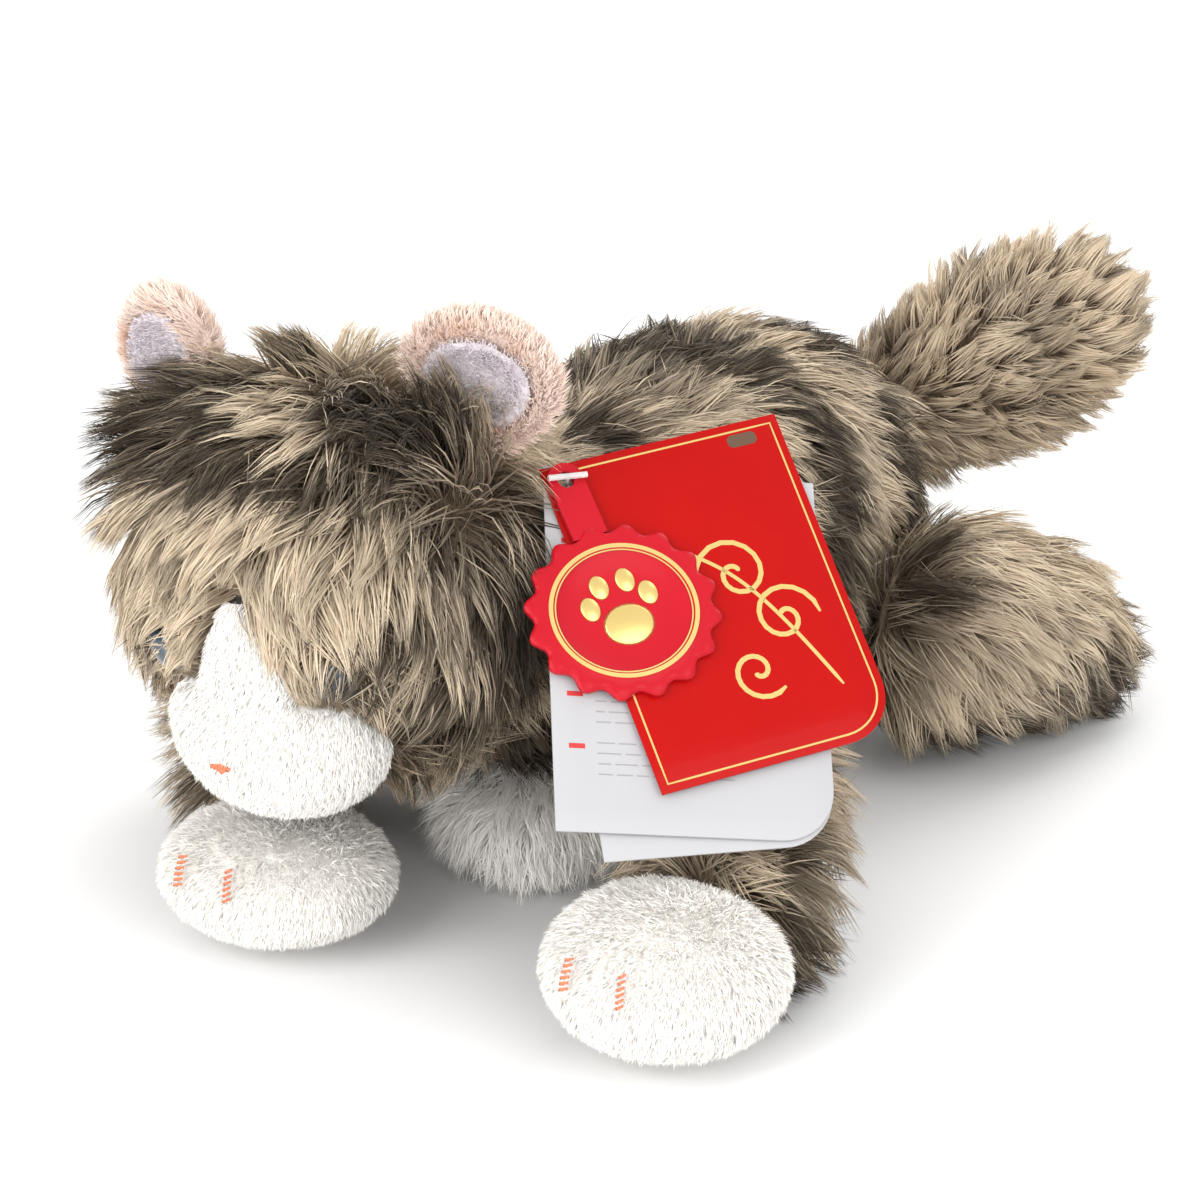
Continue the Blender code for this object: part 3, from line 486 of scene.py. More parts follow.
def nearest_node(points, trees):
    """Index of the nearest CAD node to each point."""
    best = np.full(len(points), 1e9)
    label = np.zeros(len(points), int)
    for index, tree in enumerate(trees):
        for i, point in enumerate(points):
            hit = tree.find_nearest(point, best[i])
            if hit[3] is not None and hit[3] < best[i]:
                best[i], label[i] = hit[3], index
    return label


def pile_depth(covers):
    coat = bpy.context.scene.plush_coat
    depths = []
    for cover in covers:
        if cover in EAR_COVERS:
            depths.append(1.5 * MM)
        elif cover in SHORT_COVERS:
            depths.append(2.6 * MM)
        elif cover == "neck_gusset":
            depths.append(1 * MM)
        else:
            depths.append(coat.skin_depth)
    return np.array(depths)


class PLUSHCAT_OT_forms(bpy.types.Operator):
    """Swell each stuffed part from its CAD solid and lay its cloth under the pile"""

    bl_idname = "plushcat.forms"
    bl_label = "Stuffed forms"

    def execute(self, context):
        made = []
        for body, (covers, inside, voxel, reach) in STUFFED.items():
            made.append((remeshed(node_copy(f"form_{body}", covers + inside), voxel), reach))
        fill_out(made)
        for (thing, _), (body, (covers, _, _, _)) in zip(made, STUFFED.items()):
            mesh = applied(thing, "SUBSURF", levels=1, render_levels=1).data
            outline = points_of(mesh)
            normals = normals_of(mesh)
            edges = np.array([tuple(e.vertices) for e in mesh.edges])
            normals = neighbour_mean(normals, edges, 3)
            normals /= np.maximum(np.linalg.norm(normals, axis=1, keepdims=True), 1e-9)
            trees = [tree_of(cover) for cover in covers]
            label = nearest_node(outline, trees) if len(trees) > 1 else np.zeros(len(outline), int)
            depth = neighbour_mean(pile_depth(covers)[label], edges, 4)
            FORMS[body] = {
                "covers": covers, "trees": trees, "skin": outline - normals * depth[:, None], "normals": normals,
                "depth": depth, "label": label, "corners": corners_of(mesh),
                "faces": [tuple(p.vertices) for p in mesh.polygons],
            }
            bpy.data.objects.remove(thing)
        return {"FINISHED"}


def mesh_object(name, points, faces, finish):
    mesh = bpy.data.meshes.new(name)
    mesh.from_pydata([tuple(p) for p in points], [], [tuple(int(i) for i in f) for f in faces])
    mesh.validate()
    thing = bpy.data.objects.new(name, mesh)
    bpy.context.scene.collection.objects.link(thing)
    thing.data.materials.append(finish)
    shade_all(mesh)
    return thing


def skin_piece(body, index, finish, tone):
    """Cloth of one cover: its part of the form, with its thickness inwards."""
    form = FORMS[body]
    cover = form["covers"][index]
    label = form["label"]
    faces = form["faces"]
    if len(form["covers"]) > 1:
        faces = [f for f in faces if np.median(label[list(f)]) == index]
    used = sorted({i for f in faces for i in f})
    renumber = {old: new for new, old in enumerate(used)}
    skin = mesh_object(f"{cover}_cloth", form["skin"][used], [[renumber[i] for i in f] for f in faces], finish)
    corner = np.arange(len(skin.data.loops))
    set_tone(skin.data, tone + 0.01 * (corner % 2), 0.12 + 0.01 * (corner // 2 % 2))
    applied(skin, "SOLIDIFY", thickness=CLOTH_WALL, offset=-1)
    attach(skin, body)
    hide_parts(cover)
    return skin


# --- pile --------------------------------------------------------------------------------------

def unit(vectors):
    return vectors / np.maximum(np.linalg.norm(vectors, axis=1, keepdims=True), 1e-9)


def ripple(points, size, seed):
    """Smooth noise from -1 to 1 about, with waves of that size in metres."""
    rng = np.random.default_rng(seed)
    total = np.zeros(len(points))
    for octave in range(5):
        way = rng.normal(size=3)
        way /= np.linalg.norm(way)
        total += np.sin(points @ way * (2 * np.pi / size) * rng.uniform(0.7, 1.6) + rng.uniform(0, 6.28))
    return total / 2.4


def seeded_points(form, density, rng):
    """Roots spread evenly over a form: place, normal, cover and pile depth at each."""
    skin, corners = form["skin"], form["corners"]
    a, b, c = (skin[corners[:, k]] for k in range(3))
    area = np.linalg.norm(np.cross(b - a, c - a), axis=1) / 2
    count = int(area.sum() * density * 1e6)
    pick = rng.choice(len(area), count, p=area / area.sum())
    u, v = rng.random(count), rng.random(count)
    over = u + v > 1
    u[over], v[over] = 1 - u[over], 1 - v[over]
    w = 1 - u - v
    mix = np.stack([w, u, v], 1)[:, :, None]
    root = (skin[corners[pick]] * mix).sum(1)
    normal = unit((form["normals"][corners[pick]] * mix).sum(1))
    depth = (form["depth"][corners[pick]] * mix[:, :, 0]).sum(1)
    near = corners[pick, np.argmax(mix[:, :, 0], 1)]
    if len(form["covers"]) > 1:
        edge = (form["label"][corners[pick]] != form["label"][near][:, None]).any(1)
        label = form["label"][near].copy()
        outer = root + normal * depth[:, None]
        label[edge] = nearest_node(outer[edge], form["trees"])
    else:
        label = np.zeros(count, int)
    return root, normal, label, depth


def rooted(body, cover, density, rng):
    """Roots of one cover's strands: place, normal, pile depth and place on the outline."""
    form = FORMS[body]
    root, normal, label, depth = seeded_points(form, density, rng)
    own = label == form["covers"].index(cover)
    root, normal, depth = root[own], normal[own], depth[own]
    return root, normal, depth, root + normal * depth[:, None]


def clear_of(points, nodes, gap):
    """Which points are further than the gap from every one of the CAD nodes."""
    keep = np.ones(len(points), bool)
    for node in nodes:
        tree = tree_of(node)
        for i in np.flatnonzero(keep):
            if tree.find_nearest(points[i], gap)[0] is not None:
                keep[i] = False
    return keep


def tufted(middles, tips, size, pull, stray, rng):
    """Draws strands together into locks of about that many, each with its own bend of about stray."""
    count = len(tips)
    heads = rng.choice(count, max(1, count // size), replace=False)
    tree = KDTree(len(heads))
    for k, i in enumerate(heads):
        tree.insert(tips[i], k)
    tree.balance()
    owner = np.array([tree.find(tip)[1] for tip in tips])
    share = (pull * rng.uniform(0.55, 1.25, count)).clip(0, 0.95)[:, None]
    bend, sway = (rng.normal(size=(len(heads), 3)) * stray * k for k in (0.5, 1.0))
    tips = tips * (1 - share) + tips[heads[owner]] * share + sway[owner]
    middles = middles * (1 - share * 0.4) + middles[heads[owner]] * share * 0.4 + bend[owner]
    return middles, tips, owner


def strand_object(name, root, middle, tip, normal, tone, width, finish, steps, rng):
    """Mesh of flat tapering strands, each a curve from root over middle to tip."""
    count = len(root)
    places = (0, 0.4, 0.75, 1) if steps == 3 else (0, 0.55, 1)
    rows = len(places)
    spin = rng.uniform(-0.9, 0.9, count)
    points = np.empty((count, 2 * (rows - 1) + 1, 3))
    taper = {0: 0.75, 0.4: 1.0, 0.55: 0.95, 0.75: 0.72}
    for k, t in enumerate(places):
        spot = (1 - t) ** 2 * root + 2 * t * (1 - t) * middle + t * t * tip
        if k == rows - 1:
            points[:, -1] = spot
            break
        way = unit(2 * (1 - t) * (middle - root) + 2 * t * (tip - middle))
        side = unit(np.cross(way, normal))
        lift = np.cross(side, way)
        side = side * np.cos(spin)[:, None] + lift * np.sin(spin)[:, None]
        half = (width * taper[t] / 2)[:, None]
        points[:, 2 * k] = spot - side * half
        points[:, 2 * k + 1] = spot + side * half
    height = points[:, :, 2]
    pressed = STRAND_FLOOR + 0.1 * (height - STRAND_FLOOR).clip(-2 * MM, 0)
    points[:, :, 2] = np.where(height < STRAND_FLOOR, pressed, height)
    pattern, along = [], []
    for k in range(rows - 2):
        a, b, c, d = 2 * k, 2 * k + 1, 2 * k + 2, 2 * k + 3
        pattern += [(a, b, d), (a, d, c)]
    last = 2 * (rows - 2)
    pattern.append((last, last + 1, last + 2))
    level = [places[k // 2] for k in range(2 * (rows - 1))] + [1.0]
    across = [0.0, 1.0] * (rows - 1) + [0.5]
    pattern = np.array(pattern)
    per = points.shape[1]
    index = (pattern[None] + (np.arange(count) * per)[:, None, None]).reshape(-1)
    mesh = bpy.data.meshes.new(name)
    mesh.vertices.add(count * per)
    mesh.vertices.foreach_set("co", points.astype(np.float32).ravel())
    mesh.loops.add(len(index))
    mesh.loops.foreach_set("vertex_index", index.astype(np.int32))
    total = len(index) // 3
    mesh.polygons.add(total)
    mesh.polygons.foreach_set("loop_start", np.arange(0, 3 * total, 3, dtype=np.int32))
    mesh.polygons.foreach_set("loop_total", np.full(total, 3, np.int32))
    mesh.polygons.foreach_set("use_smooth", np.ones(total, bool))
    mesh.update(calc_edges=True)
    sides = 0.012 * np.array([across[i] for i in pattern.ravel()])
    set_tone(mesh, (tone.clip(0.02, 0.96)[:, None] + sides[None]).ravel(),
             np.tile([0.03 + 0.94 * level[i] for i in pattern.ravel()], count))
    thing = bpy.data.objects.new(name, mesh)
    bpy.context.scene.collection.objects.link(thing)
    mesh.materials.append(finish)
    return thing


def comb(root, normal, flow, length, lift, droop, rng, wild):
    """Middle and tip of strands that leave the cloth at a lift and bend over along the flow."""
    flow = flow + rng.normal(size=flow.shape) * wild
    flow = unit(flow - (flow * normal).sum(1, keepdims=True) * normal)
    steep = lift + 0.55
    middle = root + (normal * np.sin(steep)[:, None] + flow * np.cos(steep)[:, None]) * (length * 0.5)[:, None]
    tip = root + (normal * np.sin(lift)[:, None] + flow * np.cos(lift)[:, None]) * length[:, None]
    tip[:, 2] -= droop * length
    return middle, tip


def blobs(points, spots):
    """Darkness from soft spots of (centre in mm, radii in mm, strength)."""
    dark = np.zeros(len(points))
    for centre, radii, strength in spots:
        far = np.linalg.norm((points / MM - np.array(centre)) / np.array(radii), axis=1)
        dark = np.maximum(dark, strength * np.clip(1.6 - far, 0, 1))
    return dark


def smooth_step(value, low, high):
    t = np.clip((value - low) / (high - low), 0, 1)
    return t * t * (3 - 2 * t)


def head_tone(p):
    x, y, z = (p / MM).T
    wavy = 5 * ripple(p, 0.03, 11)
    band = 1 - smooth_step(np.abs(z - 141 + wavy + 0.05 * np.abs(x + 8) * (np.abs(x + 8) > 20)), 3, 11)
    band *= smooth_step(-y, 94, 104)
    slant = 1 - smooth_step(np.abs((x - 38) * 0.8 + (z - 110) * -0.25 + 3 * ripple(p, 0.04, 13)), 2, 8)
    slant *= smooth_step(z, 80, 92) * (1 - smooth_step(z, 122, 132)) * 0.7
    dark = np.maximum(np.maximum(band * 0.95, slant), blobs(p, (
        ((52, -96, 100), (12, 18, 36), 1.0), ((-66, -108, 98), (12, 16, 34), 0.8),
        ((-60, -112, 126), (10, 16, 10), 0.8), ((22, -140, 88), (12, 8, 6), 0.8),
        ((-30, -146, 90), (10, 8, 6), 0.8), ((38, -112, 62), (16, 14, 16), 0.75),
        ((-16, -92, 158), (12, 7, 6), 0.55), ((-8, -60, 140), (40, 10, 12), 0.7),
        ((-8, -48, 118), (40, 10, 10), 0.7), ((34, -104, 138), (10, 8, 10), 0.95),
        ((-46, -116, 128), (10, 8, 8), 0.9),
    )))
    return np.clip(dark + 0.14 + 0.2 * ripple(p, 0.02, 12), 0, 1)


def body_tone(p):
    x, y, z = (p / MM).T
    stripe = np.sin(2 * np.pi * (y - 21 + 9 * ripple(p, 0.06, 21) + 0.12 * (z - 90)) / 54)
    dark = smooth_step(stripe + 0.6 * ripple(p, 0.035, 23), -0.1, 0.7) * 0.95
    dark = np.maximum(dark, blobs(p, (((46, 40, 88), (12, 12, 30), 0.9), ((-46, 40, 88), (12, 12, 30), 0.9),
                                      ((-5, 2, 126), (24, 14, 8), 0.7))))
    return np.clip(dark + 0.12 + 0.2 * ripple(p, 0.025, 22), 0, 1)


def hind_tone(p):
    z = np.abs(p[:, 2]) / MM
    dark = 0.95 * (1 - smooth_step(z, 16, 40))
    dark = np.maximum(dark, blobs(np.abs(p), (((58, 62, 62), (10, 10, 22), 0.9), ((93, 112, 26), (16, 24, 14), 0.8))))
    return np.clip(dark + 0.06 + 0.18 * ripple(p, 0.022, 32), 0, 1)


def front_tone(p):
    x, _, z = (p / MM).T
    dark = 0.85 * (1 - smooth_step(z, 12, 34)) * smooth_step(np.abs(x), 56, 80)
    return np.clip(dark + 0.48 + 0.3 * ripple(p, 0.024, 42), 0, 1)


def tail_tone(p):
    along = (p - np.array(TAIL_ROOT)) @ np.array((TAIL_TIP - TAIL_ROOT).normalized())
    rings = np.sin(2 * np.pi * (along + 0.006 * ripple(p, 0.04, 51)) / 0.038)
    return np.clip(0.03 + 0.3 * smooth_step(rings, 0.2, 0.9) + 0.13 * ripple(p, 0.02, 52), 0, 1)


def head_flow(p):
    nose = unit(np.array(NOSE) - p)
    back = smooth_step(p[:, 1], -0.098, -0.078)[:, None]
    across = p @ np.array((0.99, 0.139, 0)) + 0.0207
    part = np.sign(across) * smooth_step(-p[:, 2], -0.122, -0.1) * smooth_step(-np.abs(across), -0.045, -0.02)
    front = nose * (0.6 - 0.45 * np.abs(part))[:, None] + np.array((0, -0.1, -0.75))
    front += part[:, None] * np.array((0.85, 0.12, 0))
    behind = np.stack([np.sign(p[:, 0] + 0.008) * 0.4, np.full(len(p), 0.8), np.full(len(p), -0.45)], 1)
    return unit(front * (1 - back) + behind * back)


def body_flow(p):
    side = np.clip(p[:, 0] / 0.04, -1, 1)
    return unit(np.stack([0.35 * side, np.full(len(p), 0.75), -0.25 - 0.75 * np.abs(side)], 1))


def hind_flow(p):
    return unit(np.stack([0.35 * np.sign(p[:, 0]), np.full(len(p), 0.7), np.full(len(p), -0.6)], 1))


def front_flow(p):
    return unit(np.stack([0.5 * np.sign(p[:, 0]), np.full(len(p), 0.4), np.full(len(p), -0.8)], 1))


def tail_flow(p):
    return unit(np.tile(np.array(TAIL_TIP - TAIL_ROOT), (len(p), 1)) / 0.06 + 0.35 * unit(p - np.array(TAIL_ROOT)))


def bib_flow(p):
    return unit(np.stack([0.15 * np.sign(p[:, 0] - 0.01), np.full(len(p), -0.25), np.full(len(p), -1.0)], 1))


BARE_RIM, BARE_NECK = 2.0 * MM, 0.6 * MM    # cloth left bare beside a neighbour
LEG_COVERS = tuple(f"{end}_leg_{side}_fur_cover" for end in ("front", "hind") for side in ("left", "right"))
# cover: (body, flow, tone, share of the long length, lift, droop, neighbours it is grown clear of)
LONG_COATS = {
    "body_fur_cover": ("torso", body_flow, body_tone, 1.0, 0.36, 0.06,
                       LEG_COVERS + ("tail_fur_cover", "neck_gusset")),
    "head_fur_cover": ("head", head_flow, head_tone, 1.0, 0.42, 0.05, ("neck_gusset",)),
    "neck_gusset": ("neck", body_flow, body_tone, 2.0, 0.7, 0.05, ("head_fur_cover", "body_fur_cover")),
    "front_leg_left_fur_cover": ("front_leg_left", front_flow, front_tone, 1.1, 0.5, 0.08, ("body_fur_cover",)),
    "front_leg_right_fur_cover": ("front_leg_right", front_flow, front_tone, 1.1, 0.5, 0.08, ("body_fur_cover",)),
    "hind_leg_left_fur_cover": ("hind_leg_left", hind_flow, hind_tone, 1.05, 0.36, 0.06, ("body_fur_cover",)),
    "hind_leg_right_fur_cover": ("hind_leg_right", hind_flow, hind_tone, 1.05, 0.36, 0.06, ("body_fur_cover",)),
    "tail_fur_cover": ("tail", tail_flow, tail_tone, 0.68, 0.95, 0.0, ("body_fur_cover",)),
}


def grow_long(cover):
    body, flow, tone, share, lift, droop, neighbours = LONG_COATS[cover]
    coat = bpy.context.scene.plush_coat
    form = FORMS[body]
    rng = np.random.default_rng(sum(map(ord, cover)))
    root, normal, depth, outer = rooted(body, cover, coat.long_density, rng)
    at_neck = [n for n in neighbours if "neck_gusset" in (cover, n)]
    keep = clear_of(outer, [n for n in neighbours if n not in at_neck], BARE_RIM)
    keep &= clear_of(outer, at_neck, BARE_NECK)
    keep &= ~((root[:, 2] < 12 * MM) & (normal[:, 2] < -0.75))
    if body == "head":
        for seat, out in EYES.values():
            keep &= np.linalg.norm(outer - np.array(seat + out * EYE_DOME), axis=1) > EYE_RADIUS * 0.6
    root, normal, depth, outer = root[keep], normal[keep], depth[keep], outer[keep]
    count = len(root)
    length = coat.long_length * share * rng.uniform(0.7, 1.15, count)
    length *= 0.35 + 0.65 * np.clip(depth / coat.skin_depth, 0, 1)
    rise = lift + 0.1 * ripple(outer, 0.03, 5) + rng.normal(size=count) * 0.07
    way = flow(outer) + 0.38 * np.stack([ripple(outer, 0.035, s) for s in (6, 7, 8)], 1)
    if body == "head":
        up = np.clip(1.3 - np.linalg.norm(outer - np.array(CROWN), axis=1) / (26 * MM), 0, 1)
        rise += 0.45 * up
        for seat, stand, front in EARS.values():
            near = np.clip(1.5 - np.linalg.norm(outer - np.array(seat), axis=1) / (20 * MM), 0, 1)
            rise += 0.5 * near
            length *= 1 + 0.5 * near
            way += near[:, None] * (2.4 * np.array(stand) + 0.5 * np.array(front))
        cheek = np.clip(1.5 - np.linalg.norm(np.abs(outer - CHEEK_MIDDLE) - CHEEK_APART, axis=1) / (18 * MM), 0, 1)
        length *= 1 + 0.45 * cheek
        face = np.clip(1.4 - np.linalg.norm(outer - np.array(NOSE), axis=1) / (52 * MM), 0, 1)
        length *= 1 - 0.28 * face
    middle, tip = comb(root, normal, way, length, rise, droop, rng, 0.2)
    if body == "head":
        white = nearest_node(tip, form["trees"]) > 0
        back = np.where(white, 0.35, 1.0)[:, None]
        tip, middle = root + (tip - root) * back, root + (middle - root) * back
        over_white = nearest_node(tip + normal * depth[:, None] * 0.3, form["trees"]) > 0
        keep = ~(white & over_white) | (rng.random(count) < 0.03)
        root, normal, middle, tip, outer = root[keep], normal[keep], middle[keep], tip[keep], outer[keep]
        count = len(root)
    middle, tip, _ = tufted(middle, tip, 150, 0.3, 1.2 * MM, rng)
    middle, tip, owner = tufted(middle, tip, 18, 0.68, 1.3 * MM, rng)
    lock = rng.normal(size=owner.max() + 1)
    shade = tone(outer) + 0.12 * lock[owner] + rng.normal(size=count) * 0.09
    width = coat.long_width * rng.uniform(0.7, 1.25, count)
    finish = grey_fur()
    strands = strand_object(f"{cover}_pile", root, middle, tip, normal, shade, width, finish, 3, rng)
    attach(strands, body)


class PLUSHCAT_OT_long_pile(bpy.types.Operator):
    """Grow the long striped pile on body, neck, head, legs and tail"""

    bl_idname = "plushcat.long_pile"
    bl_label = "Long pile"

    def execute(self, context):
        for cover, plan in LONG_COATS.items():
            body = plan[0]
            skin = skin_piece(body, FORMS[body]["covers"].index(cover), grey_fur(), 0.5)
            grow_long(cover)
        return {"FINISHED"}


def grow_short(body, cover, finish, length, density, width, tone, flow, lift=1.0, tuft=14, pull=0.25,
               neighbours=(), gap=1.0):
    rng = np.random.default_rng(sum(map(ord, cover)) + 1)
    root, normal, _, outer = rooted(body, cover, density, rng)
    keep = clear_of(outer, neighbours, gap * MM) & ~((root[:, 2] < 8 * MM) & (normal[:, 2] < -0.8))
    root, normal, outer = root[keep], normal[keep], outer[keep]
    count = len(root)
    long = length * rng.uniform(0.75, 1.15, count)
    middle, tip = comb(root, normal, flow(outer), long, lift + rng.normal(size=count) * 0.12, 0.02, rng, 0.3)
    middle, tip, _ = tufted(middle, tip, tuft, pull, 0.2 * MM if length < 8 * MM else 1.2 * MM, rng)
    shade = tone(outer, rng) + rng.normal(size=count) * 0.03
    strands = strand_object(f"{cover}_pile", root, middle, tip, normal, shade, width * rng.uniform(0.7, 1.2, count),
                            finish, 2, rng)
    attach(strands, body)


def even_tone(p, rng):
    return 0.10 + 0.06 * ripple(p, 0.02, 3)


def paw_flow(p):
    return unit(np.stack([np.zeros(len(p)), np.full(len(p), -0.4), np.full(len(p), -1.0)], 1))


class PLUSHCAT_OT_white_plush(bpy.types.Operator):
    """Grow the white plush on muzzle, blaze, chin, bib, belly and paws"""

    bl_idname = "plushcat.white_plush"
    bl_label = "White plush"

    def execute(self, context):
        coat = context.scene.plush_coat
        white = white_plush()
        plans = (
            ("head", "blaze_panel", 1.0, (), paw_flow, 0.7), ("head", "muzzle_panel", 1.0, (), paw_flow, 0.8),
            ("head", "chin_panel", 1.0, ("neck_gusset",), paw_flow, 0.8),
            ("paw_left", "paw_left", 1.15, ("front_leg_left_fur_cover",), paw_flow, 0.8),
            ("paw_right", "paw_right", 1.15, ("front_leg_right_fur_cover",), paw_flow, 0.8),
            ("torso", "belly_panel", 0.9, LEG_COVERS, paw_flow, 0.9),
        )
        for body, cover, share, neighbours, flow, lift in plans:
            skin = skin_piece(body, FORMS[body]["covers"].index(cover), white, 0.1)
            density = coat.short_density * (0.4 if cover == "belly_panel" else 1)
            grow_short(body, cover, white, coat.short_length * share, density, coat.short_width,
                       even_tone, flow, lift, neighbours=neighbours)
        skin = skin_piece("torso", FORMS["torso"]["covers"].index("chest_bib"), white, 0.15)
        grow_short("torso", "chest_bib", white, coat.long_length * 0.68, coat.long_density * 1.6,
                   coat.long_width * 0.85, even_tone, bib_flow, 0.8, 24, 0.5)
        return {"FINISHED"}


class PLUSHCAT_OT_ears(bpy.types.Operator):
    """Cover the ears in short plush and line them with velour"""

    bl_idname = "plushcat.ears"
    bl_label = "Ears"

    def execute(self, context):
        coat = context.scene.plush_coat
        for side, (root, up, front) in EARS.items():
            body = f"ear_{side}"
            outward = np.array(up)
            rim_middle = np.array(root + up * 11.7 * MM + front * 6 * MM)
            skin = skin_piece(body, 0, ear_plush(), 0.1)

            def tone(p, rng, middle=rim_middle):
                near = np.linalg.norm(p - middle, axis=1)
                rim = np.clip(1 - np.abs(near - 12 * MM) / (5 * MM), 0, 1)
                return 0.10 + 0.75 * rim * (ripple(p, 0.02, 61) * 0.5 + 0.35)

            def flow(p, outward=outward):
                return np.tile(outward, (len(p), 1))

            grow_short(body, body, ear_plush(), 5.2 * MM, 4.6, 0.36 * MM, tone, flow, 0.85,
                       neighbours=(f"ear_lining_{side}",), gap=0.5)
            lining = remeshed(node_copy(f"ear_lining_{side}_velour", (f"ear_lining_{side}",)), 0.45)
            lining.data.materials.append(lining_velour())
            mesh = lining.data
            shade_all(mesh)
            set_tone(mesh, 0.12 + 0.01 * (np.arange(len(mesh.loops)) % 2), 0.12)
            points = points_of(mesh)
            FORMS[lining.name] = {
                "covers": (lining.name,), "trees": (), "skin": points, "normals": normals_of(mesh),
                "depth": np.zeros(len(points)), "label": np.zeros(len(points), int), "corners": corners_of(mesh),
            }
            # The lining's nap darkens round a spot low in the ear, near its base.
            lining_spot = np.array(root + up * 3 * MM + front * 3 * MM)

            def lining_tone(p, rng, lining_spot=lining_spot):
                return 0.05 + 0.8 * np.clip(1.3 - np.linalg.norm(p - lining_spot, axis=1) / (7 * MM), 0, 1)

            rng = np.random.default_rng(71)
            place, normal, _, _ = seeded_points(FORMS[lining.name], 6.0, rng)
            seen = normal @ np.array(front) > -0.1
            place, normal = place[seen], normal[seen]
            length = 1.5 * MM * rng.uniform(0.7, 1.2, len(place))
            middle, tip = comb(place, normal, flow(place), length, np.full(len(place), 0.9), 0, rng, 0.5)
            nap = strand_object(f"ear_lining_{side}_nap", place, middle, tip, normal,
                                lining_tone(place, rng) + rng.normal(size=len(place)) * 0.05,
                                np.full(len(place), 0.3 * MM), lining_velour(), 2, rng)
            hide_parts(f"ear_lining_{side}")
            for piece in (lining, nap):
                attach(piece, body)
        return {"FINISHED"}


# --- inside ------------------------------------------------------------------------------------

class PLUSHCAT_OT_filling(bpy.types.Operator):
    """Put lumps of fibre and a pouch of pellets inside the covers"""

    bl_idname = "plushcat.filling"
    bl_label = "Filling"

    def execute(self, context):
        fibre = grain_material("polyester_fibre", (0.86, 0.86, 0.84), 0.9, 500, 0.6, 0.08, sheen=0.4)
        cloth = grain_material("pouch_cotton", (0.66, 0.62, 0.54), 0.85, 1400, 0.4, 0.05)
        for body, (_, inside, _, _) in STUFFED.items():
            for node in inside:
                pouch = node == "pellet_pouch"
                lump = remeshed(node_copy(f"{node}_fill", (node,)), 2.5 if pouch else 5)
                points = points_of(lump.data)
                normals = normals_of(lump.data)
                size, depth = (0.006, 0.5) if pouch else (0.018, 1.6)
                swell = ripple(points, size, 81) * depth * 0.5 - depth * (0.6 if pouch else 1.6)
                points += normals * (swell * MM)[:, None]
                skin = BVHTree.FromPolygons([Vector(p) for p in FORMS[body]["skin"]], FORMS[body]["faces"])
                for k, point in enumerate(points):
                    seam, out, _, _ = skin.find_nearest(point)
                    proud = (Vector(point) - seam).dot(out) + 1 * MM
                    if proud > 0:
                        points[k] = np.array(Vector(point) - out * proud)
                set_points(lump.data, points)
                lump.data.materials.append(cloth if pouch else fibre)
                shade_all(lump.data)
                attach(lump, body)
                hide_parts(node)
        washer = grain_material("washer_nylon", (0.80, 0.80, 0.78), 0.45, 300, 0.05, 0.03)
        for side in EYES:
            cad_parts[f"eye_washer_{side}"].data.materials.clear()
            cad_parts[f"eye_washer_{side}"].data.materials.append(washer)
        return {"FINISHED"}


# --- face --------------------------------------------------------------------------------------

def eye_material():
    made, principled = shader("eye_plastic_tinted")
    if principled is None:
        return made
    nodes, links = made.node_tree.nodes, made.node_tree.links
    colour = bpy.context.scene.plush_colours.eye
    uv = nodes.new("ShaderNodeUVMap")
    uv.uv_map = "Rings"
    split = nodes.new("ShaderNodeSeparateXYZ")
    links.new(uv.outputs[0], split.inputs[0])
    fleck = nodes.new("ShaderNodeTexNoise")
    fleck.inputs["Scale"].default_value = 9
    links.new(uv.outputs[0], fleck.inputs["Vector"])
    warp = nodes.new("ShaderNodeMath")
    warp.operation = "MULTIPLY_ADD"
    warp.inputs[1].default_value = 0.06
    links.new(fleck.outputs["Fac"], warp.inputs[0])
    links.new(split.outputs["Y"], warp.inputs[2])
    ramp = nodes.new("ShaderNodeValToRGB")
    stops = ((0.0, (0.004, 0.004, 0.005)), (0.42, (0.004, 0.005, 0.006)), (0.47, scaled(colour, 0.6)),
             (0.72, scaled(colour, 1.3)), (0.93, scaled(colour, 0.6)), (1.0, (0.01, 0.012, 0.015)))
    while len(ramp.color_ramp.elements) < len(stops):
        ramp.color_ramp.elements.new(0.5)
    for element, (place, value) in zip(ramp.color_ramp.elements, stops):
        element.position = place
        element.color = (*value, 1)
    links.new(warp.outputs[0], ramp.inputs["Fac"])
    links.new(ramp.outputs["Color"], principled.inputs["Base Color"])
    principled.inputs["Roughness"].default_value = 0.12
    principled.inputs["Coat Weight"].default_value = 1
    principled.inputs["Coat Roughness"].default_value = 0.02
    return made


def basis(out):
    """Turn whose Z is out, with Y as near up as it can be."""
    z = out.normalized()
    x = Vector((0, 0, 1)).cross(z).normalized()
    return Matrix((x, z.cross(x), z)).transposed()


def turned_piece(name, profile, place, out, finish, segments=EYE_SEGMENTS):
    """Turned solid: (radius, height) points spun about out."""
    turn = basis(out)
    points, faces, rings = [], [], []
    for radius, height in profile:
        if radius == 0:
            rings.append([len(points)])
            points.append(place + turn @ Vector((0, 0, height)))
            continue
        rings.append(list(range(len(points), len(points) + segments)))
        points += [place + turn @ Vector((radius * math.cos(a), radius * math.sin(a), height))
                   for a in (2 * math.pi * k / segments for k in range(segments))]
    for lower, upper in zip(rings, rings[1:]):
        for k in range(segments):
            j = (k + 1) % segments
            if len(lower) == 1:
                faces.append((lower[0], upper[k], upper[j]))
            elif len(upper) == 1:
                faces.append((lower[k], upper[0], lower[j]))
            else:
                faces.append((lower[k], upper[k], upper[j], lower[j]))
    thing = mesh_object(name, points, faces, finish)
    face_out(thing)
    return thing


